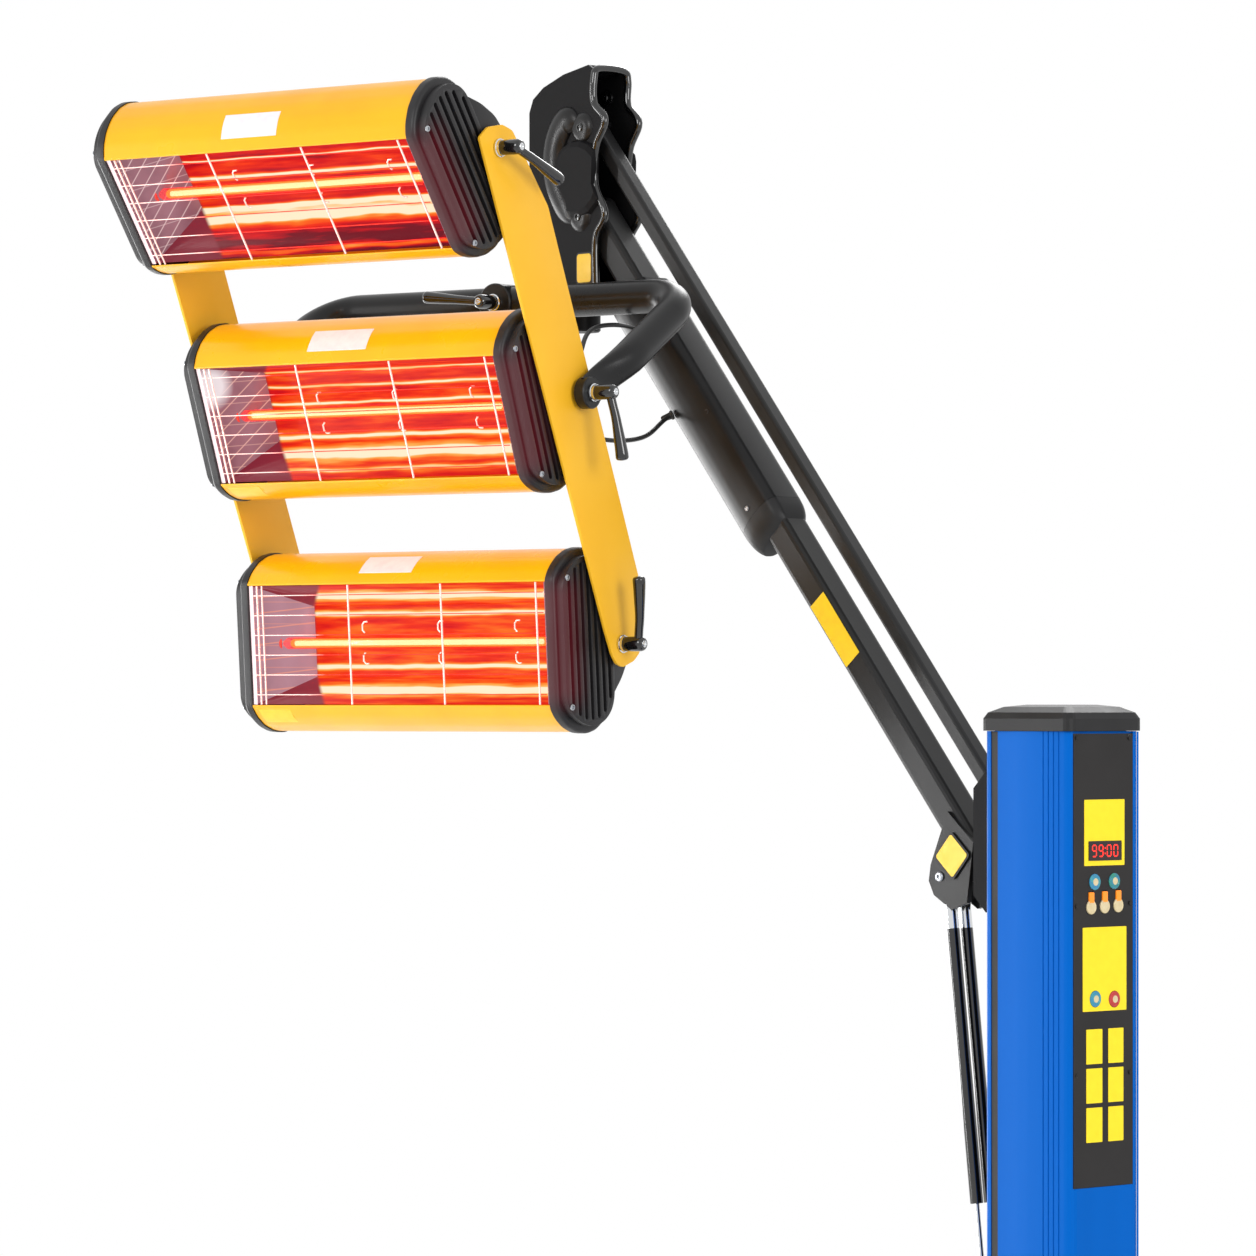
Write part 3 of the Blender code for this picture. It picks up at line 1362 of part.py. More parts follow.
def make_guard(which, frame):
    """One flat lattice of crossing wires, filled cell by cell."""
    w = GUARD_WIRE_HALF
    xs = [-GUARD_HALF_X] + [x + side for x in GUARD_BARS_X for side in (-w, w)] + [GUARD_HALF_X]
    zs = [-GUARD_HALF_Z] + [z + side for z in GUARD_ROWS_Z for side in (-w, w)] + [GUARD_HALF_Z]
    front, back = place(-w, 0.0)[0] + w, place(w, 0.0)[0] + w
    columns, rows = len(xs), len(zs)

    def filled(i, j):
        return 0 <= i < columns - 1 and 0 <= j < rows - 1 and (i % 2 == 1 or j % 2 == 1)

    points = [(x, y, z + WINDOW_RISE) for y in (front, back) for z in zs for x in xs]
    layer = columns * rows
    faces = []
    for i in range(columns - 1):
        for j in range(rows - 1):
            if not filled(i, j):
                continue
            a, b = j * columns + i, j * columns + i + 1
            c, d = (j + 1) * columns + i + 1, (j + 1) * columns + i
            faces.append([a, b, c, d])
            faces.append([d + layer, c + layer, b + layer, a + layer])
            for (p, q), neighbour in (
                ((a, b), (i, j - 1)), ((b, c), (i + 1, j)), ((c, d), (i, j + 1)), ((d, a), (i - 1, j))
            ):
                if not filled(*neighbour):
                    faces.append([q, p, p + layer, q + layer])
    used = sorted({index for face in faces for index in face})
    lookup = {index: i for i, index in enumerate(used)}
    guard = solid(
        f"guard_{which}",
        [points[i] for i in used],
        [[lookup[i] for i in face] for face in faces],
        "steel",
        frame,
    )
    pivoted(guard, frame @ Vector((0.0, 0.0, 0.0)))


def stadium(depth_low, depth_high, half_z, steps):
    radius = (depth_high - depth_low) * HALF_SHARE
    middle = (depth_high + depth_low) * HALF_SHARE
    points = []
    for start, centre in ((0.0, half_z - radius), (math.pi, radius - half_z)):
        for i in range(steps * 2 + 1):
            a = start + math.pi * i / (steps * 2)
            points.append(place(middle + radius * math.cos(a), centre + radius * math.sin(a)))
    return points


def make_end(which, frame, side, word):
    base = SHELL_HALF_LENGTH + GAP
    outline = shell_outline()
    rings = [
        [(side * (base + along), y, z) for y, z in offset_outline(outline, grow)]
        for along, grow in END_RINGS
    ]
    end = loft(f"end_cap_{word}_{which}", rings, "black", frame)
    crest = base + END_RINGS[-1][0]
    low, high = sorted((side * (crest - OVERLAP), side * (crest + PAD_PROUD)))
    pad = prism_x(
        "pad",
        stadium(PAD_DEPTHS[0], PAD_DEPTHS[1], PAD_HALF_Z, PAD_CORNER_STEPS),
        low,
        high,
        "black",
        frame,
    )
    low, high = sorted((side * WEDGE_X[0], side * WEDGE_X[1]))
    wedge = prism_x(
        "wedge", [place(depth, height) for depth, height in WEDGE_OUTLINE], low, high, "black", frame
    )
    face = PLATE_X[0] - GAP
    boss = rod(
        "boss",
        frame @ Vector((side * WEDGE_X[0], 0.0, 0.0)),
        frame @ Vector((side * face, 0.0, 0.0)),
        BOSS_RADIUS,
        SIDES_MEDIUM,
    )
    join(end, pad, wedge, boss)
    grooves = []
    crest = crest + PAD_PROUD
    for depth, half_z in zip(GROOVE_DEPTHS, GROOVE_HALF_LENGTHS):
        y_low, z_low = place(depth - GROOVE_HALF_WIDTH, -half_z)
        y_high, z_high = place(depth + GROOVE_HALF_WIDTH, half_z)
        low, high = sorted((side * (crest - GROOVE_DEPTH), side * (crest + OVERLAP)))
        grooves.append(box("groove", (low, y_low, z_low), (high, y_high, z_high), "black", frame))
    cut(end, *grooves)
    if side > 0 or which == "middle":
        cut(
            end,
            rod(
                "bore",
                frame @ Vector((side * (face - STUD_DEPTH), 0.0, 0.0)),
                frame @ Vector((side * (face + OVERLAP), 0.0, 0.0)),
                STUD_RADIUS + BORE_PLAY,
                SIDES_MEDIUM,
            ),
        )
    else:
        join(
            end,
            rod(
                "spigot",
                frame @ Vector((side * (face - OVERLAP), 0.0, 0.0)),
                frame @ Vector((side * PLATE_X[1], 0.0, 0.0)),
                STUD_RADIUS,
                SIDES_MEDIUM,
            ),
        )
    smooth(pivoted(end, frame @ Vector((0.0, 0.0, 0.0))))


def make_cassettes():
    for which in ("top", "middle", "bottom"):
        frame = cassette_frame(which)
        make_shell(which, frame)
        make_tray(which, frame)
        make_lamp(which, frame)
        make_guard(which, frame)
        make_end(which, frame, 1.0, "right")
        make_end(which, frame, -1.0, "left")


def curve_through(points, count):
    """Points on a smooth curve through the given ones, with its bends shared out by the distances between them."""
    ends = [points[0] * 2.0 - points[1]] + list(points) + [points[-1] * 2.0 - points[-2]]
    knots = [0.0]
    for a, b in zip(ends, ends[1:]):
        knots.append(knots[-1] + math.sqrt((b - a).length))
    first, last = knots[1], knots[-2]
    made = []
    for i in range(count):
        t = first + (last - first) * i / (count - 1)
        k = max(n for n in range(1, len(knots) - 2) if knots[n] <= t + OVERLAP or n == 1)
        level = ends[k - 1 : k + 3]
        near = knots[k - 1 : k + 3]
        for span in (1, 2, 3):
            blended = []
            for n in range(4 - span):
                low, high = (near[n], near[n + span]) if span < 3 else (near[1], near[2])
                if span == 2:
                    low, high = near[n], near[n + 2]
                share = (t - low) / (high - low)
                blended.append(level[n].lerp(level[n + 1], share))
            level = blended
        made.append(level[0])
    return made


def make_leads():
    head = head_frame()
    cassette = cassette_frame("middle")
    foot, _, along, over = arm_axes()
    routes = (
        ("lead_lower", LEAD_LOWER_UP, LEAD_LOWER_EXIT, LEAD_LOWER_LEAVES, LEAD_LOWER_ROUTE, LEAD_LOWER_END),
        ("lead_upper", LEAD_UPPER_UP, LEAD_UPPER_EXIT, LEAD_UPPER_LEAVES, LEAD_UPPER_ROUTE, LEAD_UPPER_END),
    )
    for name, up, spot, leaves, route, end in routes:
        start = (cover_span()[0] + up, *spot)
        across = Vector((0.0, 1.0, 0.0))
        out = (along * leaves[0] + across * leaves[1] + over * leaves[2]).normalized()
        exit_point = foot + along * start[0] + across * start[1] + over * start[2] + out * LEAD_SEAT
        back = place(SHELL_BACK, 0.0)[0] + LEAD_SEAT
        entry = cassette @ Vector((end[0], back, end[1]))
        before = cassette @ Vector((end[0], back + LEAD_STRAIGHT, end[1]))
        path = [
            exit_point, exit_point + out * LEAD_STRAIGHT
        ] + [head @ Vector(point) for point in route] + [before, entry]
        places = curve_through(path, LEAD_POINT_COUNT)
        curve = bpy.data.curves.new(name, "CURVE")
        curve.dimensions = "3D"
        curve.bevel_depth = LEAD_RADIUS
        curve.bevel_resolution = 1
        curve.use_fill_caps = True
        spline = curve.splines.new("POLY")
        spline.points.add(len(places) - 1)
        for point, spot in zip(spline.points, places):
            point.co = (spot.x, spot.y, spot.z, 1.0)
        made = bpy.data.objects.new(name, curve)
        curve.materials.append(material("rubber"))
        bpy.context.scene.collection.objects.link(made)


def main():
    clear_scene()
    make_base()
    make_column()
    make_panel()
    make_bracket()
    make_arm()
    make_struts()
    make_knuckle()
    make_swivel()
    make_yoke()
    make_plates()
    make_levers()
    make_cassettes()
    make_leads()


main()
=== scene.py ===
import json
import math

import bmesh
import bpy
from mathutils import Matrix, Vector

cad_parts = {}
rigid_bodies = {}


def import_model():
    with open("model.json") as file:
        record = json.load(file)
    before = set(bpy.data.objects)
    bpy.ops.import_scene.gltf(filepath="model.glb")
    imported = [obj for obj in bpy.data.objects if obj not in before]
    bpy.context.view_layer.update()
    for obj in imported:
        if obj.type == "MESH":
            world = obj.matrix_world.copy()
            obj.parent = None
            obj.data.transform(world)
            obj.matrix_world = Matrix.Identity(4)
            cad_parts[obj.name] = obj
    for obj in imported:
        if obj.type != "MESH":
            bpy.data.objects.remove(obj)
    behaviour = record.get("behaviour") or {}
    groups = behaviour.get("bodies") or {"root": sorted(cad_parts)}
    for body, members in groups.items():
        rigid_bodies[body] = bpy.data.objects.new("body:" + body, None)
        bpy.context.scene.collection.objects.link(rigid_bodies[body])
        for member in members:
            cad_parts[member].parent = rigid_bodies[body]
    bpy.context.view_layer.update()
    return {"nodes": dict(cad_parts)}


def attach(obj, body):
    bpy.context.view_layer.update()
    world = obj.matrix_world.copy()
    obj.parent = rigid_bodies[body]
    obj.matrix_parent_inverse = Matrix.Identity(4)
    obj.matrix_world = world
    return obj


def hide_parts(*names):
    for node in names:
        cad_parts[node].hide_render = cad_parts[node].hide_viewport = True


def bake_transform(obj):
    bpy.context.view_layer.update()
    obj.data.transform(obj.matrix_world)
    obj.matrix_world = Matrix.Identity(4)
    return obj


for startup in list(bpy.data.objects):
    bpy.data.objects.remove(startup, do_unlink=True)
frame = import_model()
nodes = frame["nodes"]
scene = bpy.context.scene
mm = 0.001  # places are in metres; radii, half sizes, roundings and turned profiles are given in mm
print("stage: frame loaded")

# Where the parts stand, from the CAD: the lamp head, its three cassettes and the arm
headFrame = Matrix.Translation((-0.5848, -0.2668, 1.4616)) @ Matrix.Rotation(math.radians(11.9), 4, "Z")
cassetteSeats = {"top": (-0.1343, 0.2162, 36.0), "middle": (-0.0080, 0.0, 20.0), "bottom": (0.0594, -0.2313, 4.0)}
armFoot = Vector((-0.0750, 0.0, 1.0077))
armAlong = (Vector((-0.6163, 0.0, 1.6580)) - armFoot).normalized()
armOver = Vector((armAlong.z, 0.0, -armAlong.x))
armFrame = Matrix.Translation(armFoot) @ Matrix((Vector((0.0, -1.0, 0.0)), armOver, armAlong)).transposed().to_4x4()
coverSpan = (0.4560, 0.7400)


# x along the lamp, y back from the window, z up the window
def cassetteFrame(which):
    y, z, tilt = cassetteSeats[which]
    turn = Matrix.Rotation(math.radians(tilt), 4, "X")
    return headFrame @ Matrix.Translation((0.0, y, z)) @ turn @ Matrix.Translation((0.0, -0.0860, 0.0060))


def axisFrame(start, along, side=None):
    z = Vector(along).normalized()
    x = Vector(side) if side is not None else z.orthogonal()
    x = (x - z * x.dot(z)).normalized()
    return Matrix.Translation(Vector(start)) @ Matrix((x, z.cross(x), z)).transposed().to_4x4()


# Shape helpers
def outlineFace(points):
    shape = bmesh.new()
    shape.faces.new([shape.verts.new(point) for point in points])
    return shape


def roundCorners(shape, amount, segments=5, verts=None):
    bmesh.ops.bevel(
        shape, geom=list(verts or shape.verts), offset=amount * mm, offset_type="OFFSET", segments=segments,
        profile=0.5, affect="VERTICES", clamp_overlap=True, material=-1,
    )
    bmesh.ops.remove_doubles(shape, verts=shape.verts, dist=0.02 * mm)


def pushOut(shape, move):
    grown = bmesh.ops.extrude_face_region(shape, geom=shape.faces[:])
    bmesh.ops.translate(shape, verts=[v for v in grown["geom"] if isinstance(v, bmesh.types.BMVert)], vec=move)
    bmesh.ops.recalc_face_normals(shape, faces=shape.faces)


def softenEdges(shape, amount, segments=3, angle=30.0, keep=lambda edge: True):
    edges = [e for e in shape.edges if e.is_manifold and e.calc_face_angle() > math.radians(angle) and keep(e)]
    bmesh.ops.bevel(
        shape, geom=edges, offset=amount * mm, offset_type="OFFSET", segments=segments, profile=0.5,
        affect="EDGES", clamp_overlap=True, material=-1,
    )


def roundedOutline(points, amount, segments=4):
    shape = outlineFace(points)
    roundCorners(shape, amount, segments)
    shape.faces.ensure_lookup_table()
    outline = [vert.co.copy() for vert in shape.faces[0].verts]
    shape.free()
    return outline


# skins a row of closed outlines that have the same number of points
def lofted(rings, closeFirst=True):
    shape = bmesh.new()
    loops = []
    for ring in rings:
        verts = [shape.verts.new(point) for point in ring]
        loops.append([shape.edges.new(pair) for pair in zip(verts, verts[1:] + verts[:1])])
    for low, high in zip(loops, loops[1:]):
        bmesh.ops.bridge_loops(shape, edges=low + high)
    for loop in (loops[0], loops[-1]) if closeFirst else (loops[-1],):
        bmesh.ops.contextual_create(shape, geom=loop)
    bmesh.ops.recalc_face_normals(shape, faces=shape.faces)
    return shape


def slab(points, move, corner=0.0, edge=0.0, segments=5):
    shape = outlineFace(points)
    if corner:
        roundCorners(shape, corner, segments)
    pushOut(shape, move)
    if edge:
        softenEdges(shape, edge)
    return shape


# four corners about a middle point, square to x or to y
def rectangle(x, y, z, halfA, halfB, plane="YZ"):
    ends = [(a * halfA * mm, b * halfB * mm) for a, b in ((-1, -1), (1, -1), (1, 1), (-1, 1))]
    if plane == "YZ":
        return [(x, y + a, z + b) for a, b in ends]
    return [(x + a, y, z + b) for a, b in ends]


# spins (radius, height) pairs about local z
def turned(profile, steps=40):
    shape = bmesh.new()
    points = [shape.verts.new((radius * mm, 0.0, height * mm)) for radius, height in profile]
    edges = [shape.edges.new(pair) for pair in zip(points, points[1:])]
    bmesh.ops.spin(
        shape, geom=points + edges, cent=(0, 0, 0), axis=(0, 0, 1), angle=math.tau, steps=steps, use_merge=True
    )
    bmesh.ops.remove_doubles(shape, verts=shape.verts, dist=0.002 * mm)
    bmesh.ops.recalc_face_normals(shape, faces=shape.faces)
    return shape


# joins another shape into the first, as a loose part of the same mesh
def added(shape, other, place=None):
    if place is not None:
        other.transform(place)
    mesh = bpy.data.meshes.new("part")
    other.to_mesh(mesh)
    other.free()
    shape.from_mesh(mesh)
    bpy.data.meshes.remove(mesh)
    return shape


# a path through the corner points, with each inner corner turned on an arc
def roundedPath(corners, bend, steps=8):
    path = [Vector(corners[0])]
    for before, here, after in zip(corners, corners[1:], corners[2:]):
        a, b, c = Vector(before), Vector(here), Vector(after)
        first, second = (a - b).normalized(), (c - b).normalized()
        half = first.angle(second) / 2
        reach = bend / math.tan(half)
        centre = b + (first + second).normalized() * (bend / math.sin(half))
        start, end = b + first * reach - centre, b + second * reach - centre
        whole = start.angle(end)
        axis = start.cross(end).normalized()
        for i in range(steps + 1):
            path.append(centre + Matrix.Rotation(whole * i / steps, 3, axis) @ start)
    path.append(Vector(corners[-1]))
    return path


# an even curve through the given points
def softPath(points, perSpan=8):
    ends = [Vector(points[0]) * 2 - Vector(points[1])] + [Vector(p) for p in points]
    ends.append(Vector(points[-1]) * 2 - Vector(points[-2]))
    path = []
    for a, b, c, d in zip(ends, ends[1:], ends[2:], ends[3:]):
        for i in range(perSpan):
            t = i / perSpan
            square, cube = (2 * a - 5 * b + 4 * c - d) * t**2, (3 * b - a - 3 * c + d) * t**3
            path.append(0.5 * (2 * b + (c - a) * t + square + cube))
    return path + [ends[-2]]


# a round rod along a path, from a bevelled curve; swell gives its share of the radius at each point
def piping(path, radius, sides, swell=None):
    curve = bpy.data.curves.new("rod", "CURVE")
    curve.dimensions = "3D"
    curve.bevel_depth = radius * mm
    curve.bevel_resolution = sides
    curve.use_fill_caps = True
    line = curve.splines.new("POLY")
    line.points.add(len(path) - 1)
    for i, point in enumerate(path):
        line.points[i].co = (*point, 1.0)
        line.points[i].radius = swell[i] if swell else 1.0
    rod = bpy.data.objects.new("rod", curve)
    scene.collection.objects.link(rod)
    bpy.context.view_layer.update()
    mesh = bpy.data.meshes.new_from_object(rod.evaluated_get(bpy.context.evaluated_depsgraph_get()))
    shape = bmesh.new()
    shape.from_mesh(mesh)
    bpy.data.objects.remove(rod)
    bpy.data.curves.remove(curve)
    bpy.data.meshes.remove(mesh)
    bmesh.ops.remove_doubles(shape, verts=shape.verts, dist=0.001 * mm)
    bmesh.ops.recalc_face_normals(shape, faces=shape.faces)
    return shape


def cutAway(shape, cutter):
    pair = []
    for name, part in (("body", shape), ("cutter", cutter)):
        mesh = bpy.data.meshes.new(name)
        part.to_mesh(mesh)
        part.free()
        pair.append(bpy.data.objects.new(name, mesh))
        scene.collection.objects.link(pair[-1])
    step = pair[0].modifiers.new("cut", "BOOLEAN")
    step.operation, step.object, step.solver = "DIFFERENCE", pair[1], "EXACT"
    bpy.context.view_layer.update()
    result = bpy.data.meshes.new_from_object(pair[0].evaluated_get(bpy.context.evaluated_depsgraph_get()))
    made = bmesh.new()
    made.from_mesh(result)
    for used in [part.data for part in pair] + [result]:
        bpy.data.meshes.remove(used)  # the mesh takes its object with it
    return made


# makes a shape a finished piece, in its place; the localPlace layer keeps where each point was before
def finishPiece(name, shape, finish, body, replaced=(), place=None, crease=30.0):
    layer = shape.verts.layers.float_vector.new("localPlace")
    for vert in shape.verts:
        vert[layer] = vert.co
    if place is not None:
        shape.transform(place)
        if place.to_3x3().determinant() < 0:
            bmesh.ops.reverse_faces(shape, faces=shape.faces)
    mesh = bpy.data.meshes.new(name)
    shape.to_mesh(mesh)
    shape.free()
    piece = bpy.data.objects.new(name, mesh)
    scene.collection.objects.link(piece)
    for each in (finish,) if isinstance(finish, str) else finish:
        mesh.materials.append(finishes[each])
    mesh.shade_smooth()
    mesh.set_sharp_from_angle(angle=math.radians(crease))
    if body:
        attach(piece, body)
    if replaced:
        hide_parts(*replaced)
    return piece


# Finishes: colours in sRGB hex
finishes = {}


def linearColour(code):
    parts = [int(code[i : i + 2], 16) / 255 for i in (0, 2, 4)]
    return [p / 12.92 if p <= 0.04045 else ((p + 0.055) / 1.055) ** 2.4 for p in parts] + [1.0]


# inputs go by name or number; of a map range 1 and 2 are the range it reads, 3 and 4 the range it gives
def addNode(tree, kind, inputs=None, **settings):
    node = tree.nodes.new("ShaderNode" + kind)
    for key, value in settings.items():
        setattr(node, key, value)
    for key, value in (inputs or {}).items():
        if isinstance(value, bpy.types.NodeSocket):
            tree.links.new(value, node.inputs[key])
        else:
            node.inputs[key].default_value = value
    return node


def newFinish(name, colour, roughness, metallic=0.0, **sockets):
    finish = bpy.data.materials.new(name)
    finish.use_nodes = True
    shader = finish.node_tree.nodes["Principled BSDF"]
    shader.inputs["Base Color"].default_value = linearColour(colour)
    shader.inputs["Roughness"].default_value = roughness
    shader.inputs["Metallic"].default_value = metallic
    for key, value in sockets.items():
        shader.inputs[key.replace("_", " ")].default_value = value
    return finish, finish.node_tree, shader


# grain in mm gives the bump, patch in mm the slow change of gloss and of colour
def addGrain(tree, shader, grain, depth, spread, tint=None, patch=60.0, stretch=(1, 1, 1)):
    place = addNode(tree, "TexCoord").outputs["Object"]
    if stretch != (1, 1, 1):
        place = addNode(tree, "Mapping", {"Vector": place, "Scale": stretch}).outputs["Vector"]
    fine = addNode(tree, "TexNoise", {"Vector": place, "Scale": 1 / (grain * mm), "Detail": 3.0})
    slow = addNode(tree, "TexNoise", {"Vector": place, "Scale": 1 / (patch * mm), "Detail": 4.0}).outputs["Fac"]
    rough = shader.inputs["Roughness"].default_value
    gloss = addNode(tree, "MapRange", {0: slow, 1: 0.3, 2: 0.7, 3: rough - spread, 4: rough + spread})
    tree.links.new(gloss.outputs["Result"], shader.inputs["Roughness"])
    bump = addNode(tree, "Bump", {"Height": fine.outputs["Fac"], "Distance": depth * mm, "Strength": 1.0})
    tree.links.new(bump.outputs["Normal"], shader.inputs["Normal"])
    if tint:
        share = addNode(tree, "MapRange", {0: slow, 1: 0.35, 2: 0.7}).outputs["Result"]
        plain = list(shader.inputs["Base Color"].default_value)
        mix = addNode(tree, "Mix", {0: share, 6: plain, 7: linearColour(tint)}, data_type="RGBA")
        tree.links.new(mix.outputs[2], shader.inputs["Base Color"])


# where each point was on its own piece, before the piece was put in place, whole and as x, y and z
def localPlace(tree):
    place = addNode(tree, "Attribute", attribute_name="localPlace").outputs["Vector"]
    return place, addNode(tree, "SeparateXYZ", {"Vector": place}).outputs


# a plain finish with its grain; glow is the colour and strength of its own light
def coat(
    name, colour, roughness, grain, depth, spread, tint=None, metallic=0.0, patch=60.0, stretch=(1, 1, 1),
    specular=0.5, glow=None, **sockets,
):
    if glow:
        sockets.update(Emission_Color=linearColour(glow[0]), Emission_Strength=glow[1])
    sockets["Specular_IOR_Level"] = specular
    finishes[name], tree, shader = newFinish(name, colour, roughness, metallic, **sockets)
    addGrain(tree, shader, grain, depth, spread, tint, patch, stretch)


# glossy yellow powder coat on sheet steel: a soft orange peel that breaks up the highlights
coat(
    "yellowPowderCoat", "f8b409", 0.30, 1.6, 0.010, 0.04, tint="f2ab08", specular=0.32,
    Coat_Weight=0.12, Coat_Roughness=0.1,
)
# the same coat, flatter, on the laser-cut side plates; its paler colour than on the shells is painted light
coat("yellowPlateCoat", "f8bc2a", 0.40, 1.4, 0.010, 0.05, tint="f5b725", specular=0.3)
# satin black powder coat on steel tube and plate
coat("blackPowderCoat", "141415", 0.42, 0.9, 0.010, 0.05, tint="18181a", specular=0.07)
# smooth satin black on the round yoke
coat("blackTubeCoat", "131314", 0.30, 1.2, 0.006, 0.04, tint="171718", specular=0.3)
# the same coat on the arm's square tubes, a shade paler: a soft grey sheen along their flats
coat("satinTubeCoat", "191919", 0.36, 1.2, 0.008, 0.04, tint="1f1f20", specular=0.26)
# gloss black moulded ABS of the arm cover
coat("glossBlackMoulding", "131314", 0.36, 2.5, 0.005, 0.04, tint="181819", specular=0.24)
# spark-eroded black nylon of the lamp end caps: fine even grain, dull sheen
coat("blackNylonMoulding", "131214", 0.42, 0.7, 0.020, 0.06, tint="1a191b", specular=0.4)
# the column's cap and the cover's nose: a finer mould grain and a greyer black
coat("satinBlackMoulding", "222223", 0.42, 0.8, 0.012, 0.05, tint="29292a", specular=0.2)
# gloss black enamel on the gas cylinders
coat("blackEnamel", "070708", 0.12, 3.0, 0.004, 0.03, tint="0c0c0d", Coat_Weight=0.6, Coat_Roughness=0.04)
# bright blue coat on the drawn aluminium profile: faint lines along the draw
coat("blueProfileCoat", "0060be", 0.34, 0.8, 0.006, 0.04, tint="005bb6", stretch=(1, 1, 0.03), specular=0.05)
# zinc plated steel of bolts, screws and forks: a bluish grey, mottled in cloudy patches
coat("zincPlatedSteel", "b9bcc0", 0.30, 1.0, 0.012, 0.08, tint="a4a7ad", metallic=1.0, patch=12.0)
# turned and polished rod, faint rings round it
coat("polishedSteel", "d6d8da", 0.14, 1.5, 0.004, 0.04, metallic=1.0, patch=20.0)
# bright guard wire and tube clips, with a painted warm glow for the light of the tube beside them
coat("brightWire", "f3dcd6", 0.28, 0.8, 0.010, 0.06, metallic=0.6, patch=10.0, glow=("ffb9a4", 0.35))
# the reflector's hem at the window's end, pale and with a painted glow for the light of the tube beside it
coat("hotRim", "f4dfe2", 0.35, 1.0, 0.006, 0.05, patch=14.0, glow=("ffdfe2", 0.45))
# vulcanised black rubber of tyres, boots and the inset strips: matt and slightly rough
coat("blackRubber", "1a1a1a", 0.62, 0.6, 0.040, 0.06, tint="232323")
# the leads' silicone sheath, smoother than the rubber
coat("leadSheath", "141414", 0.45, 0.8, 0.020, 0.05, tint="1c1c1c")
# moulded grey nylon of the wheel centres
coat("greyNylon", "5d6064", 0.45, 0.7, 0.020, 0.05, tint="565a5e")
# lacquered black panel, very slightly mottled
coat("panelLacquer", "1d1b1b", 0.40, 0.5, 0.010, 0.05, tint="242222", specular=0.25)
# yellow printed foil, left bare
coat("yellowFoil", "ffe00e", 0.40, 0.5, 0.006, 0.05, tint="fadb0a", patch=8.0)
# the same foil, more orange, on the arm and the badges
coat("amberFoil", "f3c81d", 0.36, 0.5, 0.006, 0.05, tint="edc018", patch=8.0)
# pale paper label, left bare
coat("paleLabel", "f1e4e6", 0.50, 0.4, 0.008, 0.05, tint="e9dadd", patch=8.0)
# keys: moulded and lit softly by the lamps behind them
coat("blueKey", "2a7fb6", 0.25, 0.8, 0.006, 0.04, tint="3f9a9b", patch=6.0)
coat("greenKey", "2f8f6d", 0.25, 0.8, 0.006, 0.04, tint="2c7ba5", patch=6.0)
coat("redKey", "b02a2c", 0.25, 0.8, 0.006, 0.04, tint="c23a3a", patch=6.0)
coat("ivoryKey", "d9c9a2", 0.30, 0.8, 0.006, 0.04, tint="cdbb90", patch=6.0)
# clear amber moulding over the lamp keys, lit from behind
coat("amberLens", "e8831c", 0.20, 0.8, 0.004, 0.03, patch=6.0, glow=("ff8a1a", 0.4))
# dark red acrylic of the display: a hard clear reflection; its digits are bare light
coat("displayWindow", "1a0406", 0.10, 2.0, 0.002, 0.02, patch=20.0)
coat("litDigit", "ff2a1e", 0.40, 0.5, 0.002, 0.02, glow=("ff2418", 1.3))
# green glass fibre laminate of the board behind the panel
coat("boardLaminate", "14502a", 0.45, 0.6, 0.010, 0.05, tint="1a5d33")
# glazed ceramic of the tube's end blocks, red in the tube's light
coat("ceramicEnd", "b9443a", 0.45, 0.6, 0.010, 0.05, tint="c25040", glow=("e01818", 0.5))


# the tube's reflection painted in the reflectors: sizes in mm; a row's painted light has a bright core and a soft
# edge, each as share of its half width and of its brightness
glow = {
    "drawn": 7, "cloud": 60, "sway": 0.9, "mottle": 0.20, "core": (1.25, 0.85), "edge": (3.0, 0.42), "shadow": 0.26,
    "facetLean": 0.91, "facetEnd": (-91, -85), "light": 0.94, "dimmestReflection": "4c0a1e", "brightestReflection": "fff6d2",
    "between": ((0.07, "98081c"), (0.19, "cc0c14"), (0.34, "e8320e"), (0.52, "f8701c"), (0.72, "ffba58")),
}
